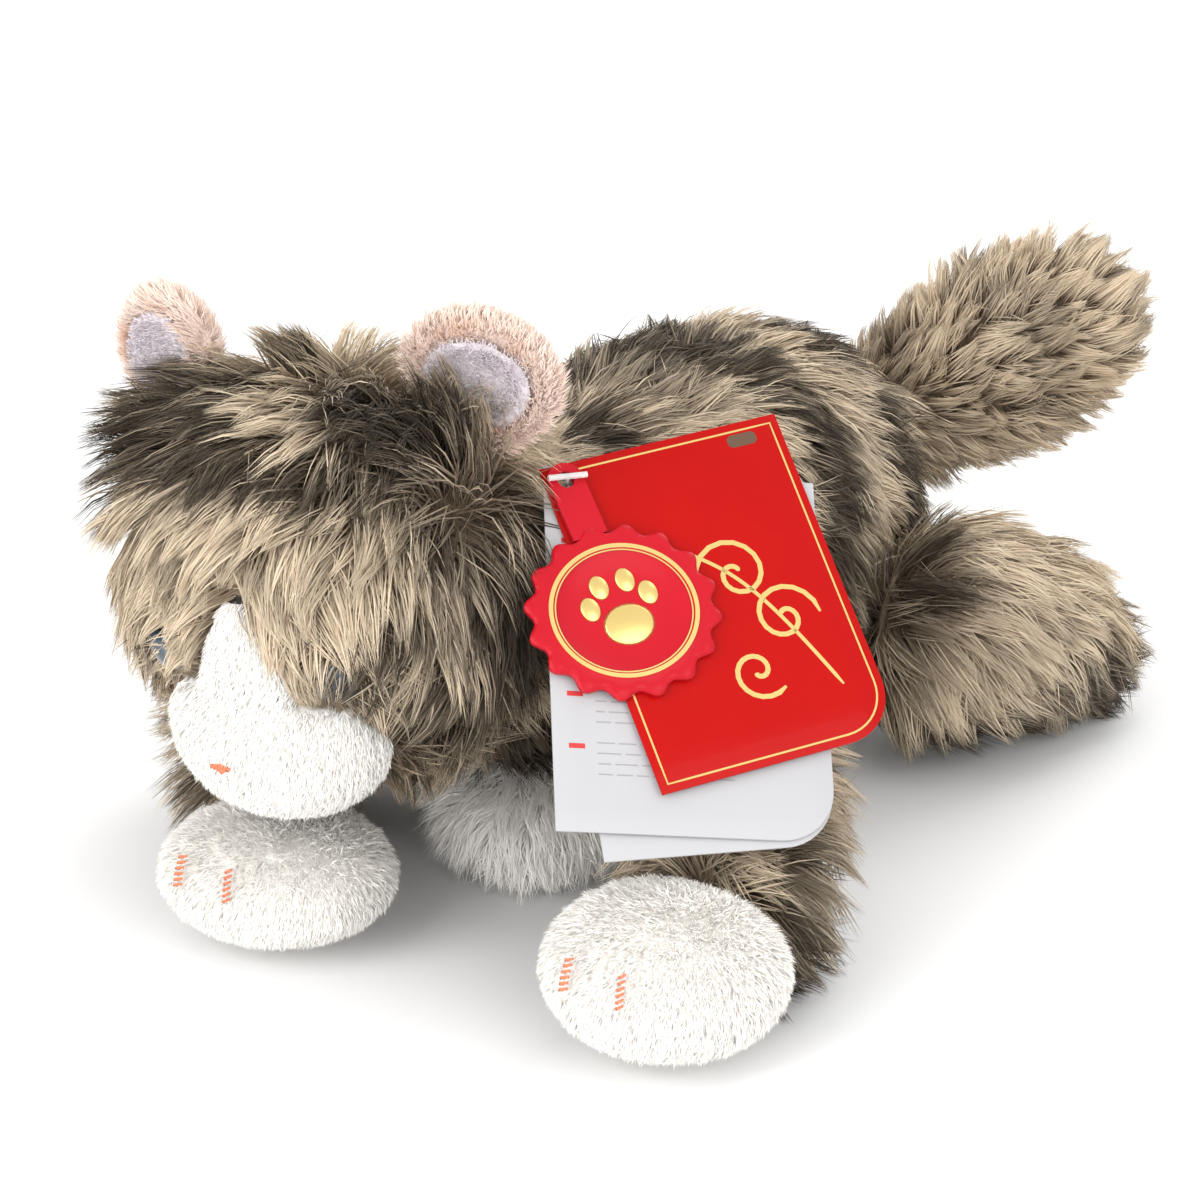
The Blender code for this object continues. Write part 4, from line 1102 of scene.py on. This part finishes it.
def stitch(points, radius, strands=2, twist=3.0, sides=6, steps=None):
    """Twisted thread along points: vertices and faces of its plies."""
    path = [Vector(p) for p in points]
    steps = steps or 6 * (len(path) - 1)
    centre = []
    for k in range(steps + 1):
        t = k / steps * (len(path) - 1)
        i = min(int(t), len(path) - 2)
        centre.append(path[i].lerp(path[i + 1], t - i))
    vertices, faces = [], []
    for ply in range(strands):
        base = len(vertices)
        for k, spot in enumerate(centre):
            way = (centre[min(k + 1, steps)] - centre[max(k - 1, 0)]).normalized()
            side = way.orthogonal().normalized()
            other = way.cross(side)
            angle = 2 * math.pi * (ply / strands + twist * k / steps)
            middle = spot + (side * math.cos(angle) + other * math.sin(angle)) * radius * 0.5
            thin = radius * (0.62 if 0 < k < steps else 0.3)
            for s in range(sides):
                b = 2 * math.pi * s / sides
                vertices.append(middle + (side * math.cos(b) + other * math.sin(b)) * thin)
        for k in range(steps):
            for s in range(sides):
                a, b = base + k * sides + s, base + k * sides + (s + 1) % sides
                faces.append((a, b, b + sides, a + sides))
        faces.append(tuple(reversed(range(base, base + sides))))
        faces.append(tuple(range(base + steps * sides, base + (steps + 1) * sides)))
    return vertices, faces


def thread_piece(name, runs, radius, body, replaced):
    """One object of several twisted stitches."""
    vertices, faces = [], []
    for run in runs:
        more, sides = stitch(run, radius)
        faces += [tuple(i + len(vertices) for i in face) for face in sides]
        vertices += more
    coral = bpy.context.scene.plush_colours.coral
    finish = grain_material("coral_embroidery", coral, 0.6, 2500, 0.3, 0.1, sheen=0.3)
    thread = mesh_object(name, vertices, faces, finish)
    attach(thread, body)
    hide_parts(replaced)
    return thread


class PLUSHCAT_OT_face(bpy.types.Operator):
    """Set the eyes and embroider the nose"""

    bl_idname = "plushcat.face"
    bl_label = "Eyes and nose"

    def execute(self, context):
        for side, (seat, out) in EYES.items():
            profile = [(0, EYE_DOME)]
            profile += [(EYE_RADIUS * math.sin(a), EYE_DOME * math.cos(a)) for a in
                        (math.radians(9 * k) for k in range(1, 10))]
            profile += [(EYE_RADIUS, 0), (EYE_RADIUS, -0.5 * MM), (EYE_RADIUS - 0.4 * MM, -0.9 * MM),
                        (2 * MM, -0.9 * MM), (1.5 * MM, -4 * MM), (0, -4 * MM)]
            eye = turned_piece(f"eye_{side}_dome", profile, seat, out, eye_material())
            rings = eye.data.uv_layers.new(name="Rings")
            turn = basis(out).inverted()
            for loop in eye.data.loops:
                local = turn @ (eye.data.vertices[loop.vertex_index].co - seat)
                rings.data[loop.index].uv = (math.atan2(local.y, local.x) / math.pi,
                                             min(1, math.hypot(local.x, local.y) / EYE_RADIUS))
            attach(eye, "head")
            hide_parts(f"eye_{side}")
        turn = basis(NOSE_OUT)
        runs = []
        for k in range(7):
            x = (k - 3) * 0.9 * MM
            top = 1.2 * MM - abs(x) * 0.25
            bottom = -1.8 * MM + abs(x) * 0.75
            runs.append([NOSE + turn @ Vector((x, top, 2.4 * MM)), NOSE + turn @ Vector((x * 0.9, 0, 3.1 * MM)),
                         NOSE + turn @ Vector((x * 0.75, bottom, 2.3 * MM))])
        thread_piece("nose_embroidery", runs, 0.45 * MM, "head", "nose_stitching")
        return {"FINISHED"}


class PLUSHCAT_OT_toes(bpy.types.Operator):
    """Embroider the toes on both front paws"""

    bl_idname = "plushcat.toes"
    bl_label = "Toe stitches"

    def execute(self, context):
        for side, paw in PAWS.items():
            for toe in ("inner", "outer"):
                node = f"toe_stitch_{side}_{toe}"
                low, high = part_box(node)
                middle = (low + high) / 2
                out = (middle - paw).normalized()
                turn = basis(out)
                runs = []
                for k in range(6):
                    y = (k - 2.5) * 1.5 * MM
                    lift = (1.6 - abs(k - 2.5) * 0.15) * MM
                    runs.append([middle + turn @ Vector((-0.9 * MM, y - 0.5 * MM, lift - 1.0 * MM)),
                                 middle + turn @ Vector((0, y, lift + 0.9 * MM)),
                                 middle + turn @ Vector((0.9 * MM, y + 0.5 * MM, lift - 1.0 * MM))])
                thread_piece(f"{node}_embroidery", runs, 0.42 * MM, f"paw_{side}", node)
        return {"FINISHED"}


# --- tags --------------------------------------------------------------------------------------

def tag_matrix(swing, layer):
    """Card space, x across, y up and z out of its face, with its hole at the middle."""
    down = TAG_DOWN * math.cos(swing) + TAG_ALONG * math.sin(swing)
    across = TAG_ALONG * math.cos(swing) - TAG_DOWN * math.sin(swing)
    place = TAG_HOLE + TAG_FACE * CARD_PITCH * layer
    return Matrix.Translation(place) @ Matrix((across, -down, TAG_FACE)).transposed().to_4x4()


def no_bow(x, y):
    return 0 * x


def settle(thing, matrix, bow, body):
    """Bows a flat piece in card space and puts it in its place."""
    points = points_of(thing.data)
    points[:, 2] += bow(points[:, 0], points[:, 1])
    set_points(thing.data, points)
    thing.data.transform(matrix)
    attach(thing, body)
    return thing


def flat_band(name, line, width, height, closed, finish, thickness=0.05 * MM):
    """Thin raised band along a line in card space."""
    line = [Vector((*p, 0)) for p in line]
    count = len(line)
    points, faces = [], []
    for k, spot in enumerate(line):
        before = line[(k - 1) % count] if closed or k else spot
        after = line[(k + 1) % count] if closed or k < count - 1 else spot
        way = (after - before).normalized()
        side = Vector((-way.y, way.x, 0)) * width / 2
        wide = side if closed or 0 < k < count - 1 else side * 0.5
        for z in (0, thickness):
            points += [spot - wide + Vector((0, 0, height + z)), spot + wide + Vector((0, 0, height + z))]
    last = count if closed else count - 1
    for k in range(last):
        a, b = 4 * k, 4 * ((k + 1) % count)
        faces += [(a + 2, b + 2, b + 3, a + 3), (a, a + 1, b + 1, b), (a, b, b + 2, a + 2),
                  (a + 1, a + 3, b + 3, b + 1)]
    if not closed:
        end = 4 * (count - 1)
        faces += [(0, 2, 3, 1), (end, end + 1, end + 3, end + 2)]
    band = mesh_object(name, points, faces, finish)
    face_out(band)
    shade_all(band.data, False)
    return band


def joined(name, things):
    alone(things[0])
    for thing in things:
        thing.select_set(True)
    bpy.ops.object.join()
    things[0].name = name
    things[0].data.name = name
    return things[0]


def cut_hole(thing):
    bpy.ops.object.select_all(action="DESELECT")
    bpy.ops.mesh.primitive_cylinder_add(vertices=32, radius=HOLE_RADIUS, depth=8 * MM, location=(0, 0, 0))
    punch = bpy.context.object
    applied(thing, "BOOLEAN", operation="DIFFERENCE", solver="EXACT", object=punch)
    bpy.data.objects.remove(punch)


def card_edge(width, height, inset=0.0, steps=10):
    """Outline of a card with one round corner, from its top left, in card space."""
    left, right = -CARD_CORNER + inset, width - CARD_CORNER - inset
    top, bottom = CARD_CORNER - inset, -(height - CARD_CORNER) + inset
    round_off = max(CARD_ROUND - inset, 1 * MM)
    points = [(left, top), (left, bottom)]
    for k in range(steps + 1):
        a = -math.pi / 2 + k * math.pi / 2 / steps
        points.append((right - round_off + round_off * math.cos(a), bottom + round_off + round_off * math.sin(a)))
    points.append((right, top))
    return points


def card(name, width, height, finish):
    """Card with its round corner and its hole, cut into cells so that it can bow."""
    bpy.ops.object.select_all(action="DESELECT")
    edge = card_edge(width, height)
    sheet = mesh_object(name, [(x, y, 0) for x, y in edge], [tuple(range(len(edge)))], finish)
    alone(sheet)
    bpy.ops.object.mode_set(mode="EDIT")
    bpy.ops.mesh.select_all(action="SELECT")
    for k in range(1, int(height / CARD_CELL)):
        bpy.ops.mesh.select_all(action="SELECT")
        bpy.ops.mesh.bisect(plane_co=(0, CARD_CORNER - k * CARD_CELL, 0), plane_no=(0, 1, 0))
    for k in range(1, int(width / CARD_CELL)):
        bpy.ops.mesh.select_all(action="SELECT")
        bpy.ops.mesh.bisect(plane_co=(k * CARD_CELL - CARD_CORNER, 0, 0), plane_no=(1, 0, 0))
    bpy.ops.object.mode_set(mode="OBJECT")
    applied(sheet, "SOLIDIFY", thickness=CARD_THICKNESS, offset=1)
    cut_hole(sheet)
    applied(sheet, "BEVEL", width=0.08 * MM, segments=2, limit_method="ANGLE", angle_limit=math.radians(50))
    bpy.ops.object.shade_smooth_by_angle(angle=math.radians(35))
    return sheet


def swirl(start, turns, size, grow, lean=0.0, count=26):
    """Curling flourish that opens out from its start."""
    points = []
    for k in range(count):
        t = k / (count - 1)
        a = lean + turns * 2 * math.pi * t
        r = size * (0.12 + t ** grow)
        points.append((start[0] + r * math.cos(a), start[1] + r * math.sin(a)))
    return points


def paw_mark(x, y, size, height, finish, name):
    """Plain pad and four toes."""
    spots = [(0, -0.18, 0.34, 0.28)] + [(0.42 * math.cos(a), 0.42 * math.sin(a), 0.13, 0.17)
                                        for a in (math.radians(d) for d in (20, 65, 115, 160))]
    things = []
    for k, (cx, cy, rx, ry) in enumerate(spots):
        edge = [(x + size * (cx + rx * math.cos(b)), y + size * (cy + ry * math.sin(b)))
                for b in (2 * math.pi * s / 24 for s in range(24))]
        low = [(px, py, height) for px, py in edge]
        high = [(x + (px - x - size * cx) * 0.86 + size * cx, y + (py - y - size * cy) * 0.86 + size * cy,
                 height + 0.35 * MM) for px, py in edge]
        faces = [tuple(reversed(range(24))), tuple(range(24, 48))]
        faces += [(s, (s + 1) % 24, 24 + (s + 1) % 24, 24 + s) for s in range(24)]
        things.append(mesh_object(f"{name}_{k}", low + high, faces, finish))
    return joined(name, things)


class PLUSHCAT_OT_tags(bpy.types.Operator):
    """Cut the backing card, leaflet and cover card, hang the seal and give the fastener clear plastic"""

    bl_idname = "plushcat.tags"
    bl_label = "Paper tags"

    def execute(self, context):
        c = context.scene.plush_colours
        # The white paper is set to a grey of 0.44: painted shade, the shade the tags hang in. It serves the backing
        # board and the leaflet.
        paper = grain_material("white_art_paper", (0.44, 0.44, 0.45), 0.42, 1800, 0.05, 0.01, coat=0.05, specular=0.3)
        red = grain_material("red_gloss_card", c.card_red, 0.3, 700, 0.03, 0.05, coat=0.05, specular=0.1)
        gold = grain_material("gold_foil", c.gold, 0.28, 900, 0.08, 0.05, metallic=1.0)
        print_grey = grain_material("grey_print", (0.30, 0.30, 0.31), 0.6, 900, 0.02, 0.02)
        print_red = grain_material("red_print", (0.55, 0.03, 0.03), 0.5, 900, 0.02, 0.02)
        dark = grain_material("dark_pill_print", (0.10, 0.045, 0.02), 0.3, 900, 0.02, 0.02, coat=0.5)
        top = CARD_THICKNESS

        width, height, swing, layer = BACKING
        matrix = tag_matrix(math.radians(swing), layer)
        backing = settle(card("tag_backing_board", width, height, paper), matrix, no_bow, "tag_backing_card")
        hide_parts("tag_backing_card")
        bars = [flat_band(f"backing_bar_{k}", [(a, y), (b, y)], 1.6 * MM, top, False, print_red)
                for k, (a, b, y) in enumerate(((6 * MM, 20 * MM, -90 * MM), (24 * MM, 33 * MM, -90 * MM)))]
        settle(joined("tag_backing_print", bars), matrix, no_bow, "tag_backing_card")

        def leaf_bow(x, y):
            low = np.clip((-y - 60 * MM) / (30 * MM), 0, 1) ** 2
            return 1.6 * MM * low * np.clip(1 - x / (60 * MM), 0.1, 1) * 0.2

        width, height, swing, layer = LEAFLET
        matrix = tag_matrix(math.radians(swing), layer)
        leaflet = settle(card("tag_leaflet_sheet", width, height, paper), matrix, leaf_bow, "tag_leaflet")
        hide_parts("tag_leaflet")
        rng = np.random.default_rng(7)
        bars = []
        for row in range(24):
            y = -(14 + 2.7 * row) * MM
            if row % 5 == 4:
                continue
            x = 6 * MM
            while x < (48 if row < 20 else 40) * MM:
                word = rng.uniform(2.2, 6.5) * MM
                bars.append(flat_band(f"bar_{row}_{len(bars)}", [(x, y), (x + word, y)], 0.75 * MM, top, False,
                                      print_grey, 0.02 * MM))
                x += word + 1.0 * MM
            if row % 5 == 0:
                bars.append(flat_band(f"dot_{row}", [(-1 * MM, y - 1 * MM), (3 * MM, y - 1 * MM)], 2.6 * MM, top, False,
                                      print_red, 0.02 * MM))
        settle(joined("tag_leaflet_print", bars), matrix, leaf_bow, "tag_leaflet")

        def cover_bow(x, y):
            return 1.0 * MM * np.clip(-y / (83 * MM), 0, 1) ** 2

        width, height, swing, layer = COVER
        matrix = tag_matrix(math.radians(swing), layer)
        cover = settle(card("tag_cover_card", width, height, red), matrix, cover_bow, "tag_cover")
        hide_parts("tag_cover")
        line, border = [], card_edge(width, height, 2.2 * MM)
        for (ax, ay), (bx, by) in zip(border, border[1:] + border[:1]):
            parts = max(1, int(math.hypot(bx - ax, by - ay) / (5 * MM)))
            line += [(ax + (bx - ax) * k / parts, ay + (by - ay) * k / parts) for k in range(parts)]
        foil = [flat_band("foil_line", line, 0.5 * MM, top, True, gold)]
        for k, (start, turns, size, grow, lean) in enumerate((
            ((34 * MM, -34 * MM), 1.5, 10 * MM, 1.2, 0.4), ((42 * MM, -48 * MM), -1.4, 8.5 * MM, 1.1, 2.4),
            ((30 * MM, -60 * MM), 1.3, 7 * MM, 1.2, 3.6),
        )):
            path = swirl(start, turns, size, grow, lean)
            foil.append(flat_band(f"foil_curl_{k}", path, 1.3 * MM, top, False, gold))
        foil.append(flat_band("foil_stem", [(24 * MM + 26 * MM * t, -(26 + 44 * t - 8 * math.sin(3 * t)) * MM)
                                            for t in (k / 24 for k in range(25))], 1.0 * MM, top, False, gold))
        foil_piece = settle(joined("tag_cover_foil", foil), matrix, cover_bow, "tag_cover")
        pill = [(x * MM, 0.2 * MM) for x in (45, 46, 52, 53)]
        settle(flat_band("tag_cover_pill", pill, 3.4 * MM, top, False, dark), matrix, cover_bow, "tag_cover")
        self.seal(gold)
        self.fastener()
        return {"FINISHED"}

    def seal(self, gold):
        c = bpy.context.scene.plush_colours
        finish = grain_material("red_moulded_seal", c.seal_red, 0.35, 400, 0.06, 0.04, coat=0.05, specular=0.15)
        matrix = tag_matrix(math.radians(SEAL_SWING), SEAL_LAYER)
        offset = SEAL_RADII[1] + 3 * CARD_CORNER
        count = 192

        def edge(scale, ripple_size=0.0):
            points = []
            for k in range(count):
                a = 2 * math.pi * k / count
                r = scale * (1 + ripple_size * math.cos(16 * a))
                points.append((SEAL_RADII[0] * r * math.cos(a), -offset + SEAL_RADII[1] * r * math.sin(a)))
            return points

        # each ring of the disc: (scale, depth of the scallops, height in mm)
        levels = ((0.985, 0.05, 0.0), (1.0, 0.05, 0.35), (1.0, 0.05, 1.5), (0.97, 0.05, 2.1), (0.90, 0.03, 2.2),
                  (0.845, 0.0, 2.1), (0.82, 0.0, 2.3), (0.735, 0.0, 2.3), (0.70, 0.0, 1.7), (0.35, 0.0, 1.6))
        points, faces = [], []
        for scale, wave, height in levels:
            points += [(x, y, height * MM) for x, y in edge(scale, wave)]
        for level in range(len(levels) - 1):
            for k in range(count):
                j = (k + 1) % count
                a, b = level * count, (level + 1) * count
                faces.append((a + k, a + j, b + j, b + k))
        points.append((0, -offset, 1.6 * MM))
        points.append((0, -offset, 0))
        middle, under, last = len(points) - 2, len(points) - 1, (len(levels) - 1) * count
        for k in range(count):
            j = (k + 1) % count
            faces.append((last + k, last + j, middle))
            faces.append((j, k, under))
        disc = mesh_object("tag_seal_disc", points, faces, finish)
        half = 4.6 * MM
        outline = [(half * math.cos(a), half * math.sin(a)) for a in (math.pi * k / 16 for k in range(17))]
        outline += [(-half, -16 * MM), (half, -16 * MM)]
        points = [(x, y, 0.2 * MM) for x, y in outline]
        tab = mesh_object("tag_seal_tab", points, [tuple(range(len(outline)))], finish)
        applied(tab, "SOLIDIFY", thickness=1.5 * MM, offset=1)
        cut_hole(tab)
        seal = joined("tag_seal_moulding", [disc, tab])
        alone(seal)
        bpy.ops.object.shade_smooth_by_angle(angle=math.radians(40))
        settle(seal, matrix, no_bow, "tag_seal")
        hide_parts("tag_seal")
        ring = flat_band("ring", edge(0.778), 1.1 * MM, 2.3 * MM, True, gold, 0.25 * MM)
        inner = flat_band("ring_inner", edge(0.73), 0.35 * MM, 2.25 * MM, True, gold, 0.12 * MM)
        mark = paw_mark(0, -offset, 20 * MM, 1.55 * MM, gold, "mark")
        ring = joined("tag_seal_foil", [ring, inner, mark])
        settle(ring, matrix, no_bow, "tag_seal")
        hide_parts("tag_seal_ring")

    def fastener(self):
        plastic, principled = shader("clear_fastener_plastic")
        if principled is not None:
            principled.inputs["Base Color"].default_value = (0.9, 0.9, 0.9, 1)
            principled.inputs["Roughness"].default_value = 0.18
            principled.inputs["Transmission Weight"].default_value = 0.55
            principled.inputs["IOR"].default_value = 1.46
        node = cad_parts["tag_fastener"]
        node.data.materials.clear()
        node.data.materials.append(plastic)


# --- stage -------------------------------------------------------------------------------------

def area_light(name, place, target, size, power):
    data = bpy.data.lights.new(name, "AREA")
    data.shape = "SQUARE"
    data.size = size
    data.energy = power
    light = bpy.data.objects.new(name, data)
    light.location = place
    light.rotation_euler = (Vector(target) - Vector(place)).to_track_quat("-Z", "Y").to_euler()
    bpy.context.scene.collection.objects.link(light)


class PLUSHCAT_OT_stage(bpy.types.Operator):
    """Set up the pale floor, the soft lights and the camera"""

    bl_idname = "plushcat.stage"
    bl_label = "Stage"

    def execute(self, context):
        settings = context.scene.plush_stage
        bpy.ops.object.select_all(action="DESELECT")
        bpy.ops.mesh.primitive_plane_add(size=12)
        floor = context.object
        floor.name = "floor"
        floor.data.materials.append(grain_material("floor_paint", settings.floor, 0.9, 40, 0.0, 0.0))
        target = CAMERA_TARGET
        azimuth, elevation = math.radians(CAMERA_AZIMUTH), math.radians(CAMERA_ELEVATION)
        back = Vector((math.sin(azimuth) * math.cos(elevation), -math.cos(azimuth) * math.cos(elevation),
                       math.sin(elevation)))
        camera = bpy.data.objects.new("camera", bpy.data.cameras.new("camera"))
        camera.data.lens = CAMERA_LENS
        camera.data.sensor_width = CAMERA_SENSOR
        camera.location = Vector(target) + back
        camera.rotation_euler = (-back).to_track_quat("-Z", "Y").to_euler()
        context.scene.collection.objects.link(camera)
        context.scene.camera = camera
        area_light("key", (-0.15, -1.25, 0.75), target, 1.0, settings.key_power)
        area_light("fill", (1.2, -0.4, 0.7), target, 1.0, settings.fill_power)
        area_light("back", (0.1, 1.1, 0.9), target, 0.9, settings.fill_power)
        area_light("low", (0.45, -1.1, 0.14), (0.02, -0.07, 0.02), 0.4, settings.low_power)
        world = context.scene.world or bpy.data.worlds.new("surround")
        context.scene.world = world
        world.use_nodes = True
        ground = world.node_tree.nodes["Background"]
        ground.inputs["Color"].default_value = (1, 1, 1, 1)
        ground.inputs["Strength"].default_value = settings.world_strength
        context.scene.view_settings.view_transform = "Standard"
        return {"FINISHED"}


# --- add-on ------------------------------------------------------------------------------------

OPERATORS = (
    PLUSHCAT_OT_forms, PLUSHCAT_OT_long_pile, PLUSHCAT_OT_white_plush, PLUSHCAT_OT_ears, PLUSHCAT_OT_filling,
    PLUSHCAT_OT_face, PLUSHCAT_OT_toes, PLUSHCAT_OT_tags, PLUSHCAT_OT_stage,
)


class PLUSHCAT_PT_panel(bpy.types.Panel):
    """Plush cat pieces and sizes."""

    bl_idname = "PLUSHCAT_PT_panel"
    bl_label = "Plush Cat"
    bl_space_type = "VIEW_3D"
    bl_region_type = "UI"
    bl_category = "Plush Cat"

    def draw(self, context):
        for name in ("plush_coat", "plush_colours", "plush_stage"):
            group = getattr(context.scene, name)
            for key in group.__annotations__:
                self.layout.prop(group, key)
        for operator in OPERATORS:
            self.layout.operator(operator.bl_idname)


CLASSES = (PLUSHCAT_PG_coat, PLUSHCAT_PG_colours, PLUSHCAT_PG_stage, *OPERATORS, PLUSHCAT_PT_panel)


def register():
    for made in CLASSES:
        bpy.utils.register_class(made)
    bpy.types.Scene.plush_coat = bpy.props.PointerProperty(type=PLUSHCAT_PG_coat)
    bpy.types.Scene.plush_colours = bpy.props.PointerProperty(type=PLUSHCAT_PG_colours)
    bpy.types.Scene.plush_stage = bpy.props.PointerProperty(type=PLUSHCAT_PG_stage)


def unregister():
    for name in ("plush_coat", "plush_colours", "plush_stage"):
        delattr(bpy.types.Scene, name)
    for made in reversed(CLASSES):
        bpy.utils.unregister_class(made)


def main():
    register()
    for operator in OPERATORS:
        getattr(bpy.ops.plushcat, operator.bl_idname.split(".")[1])()


if __name__ == "__main__":
    main()
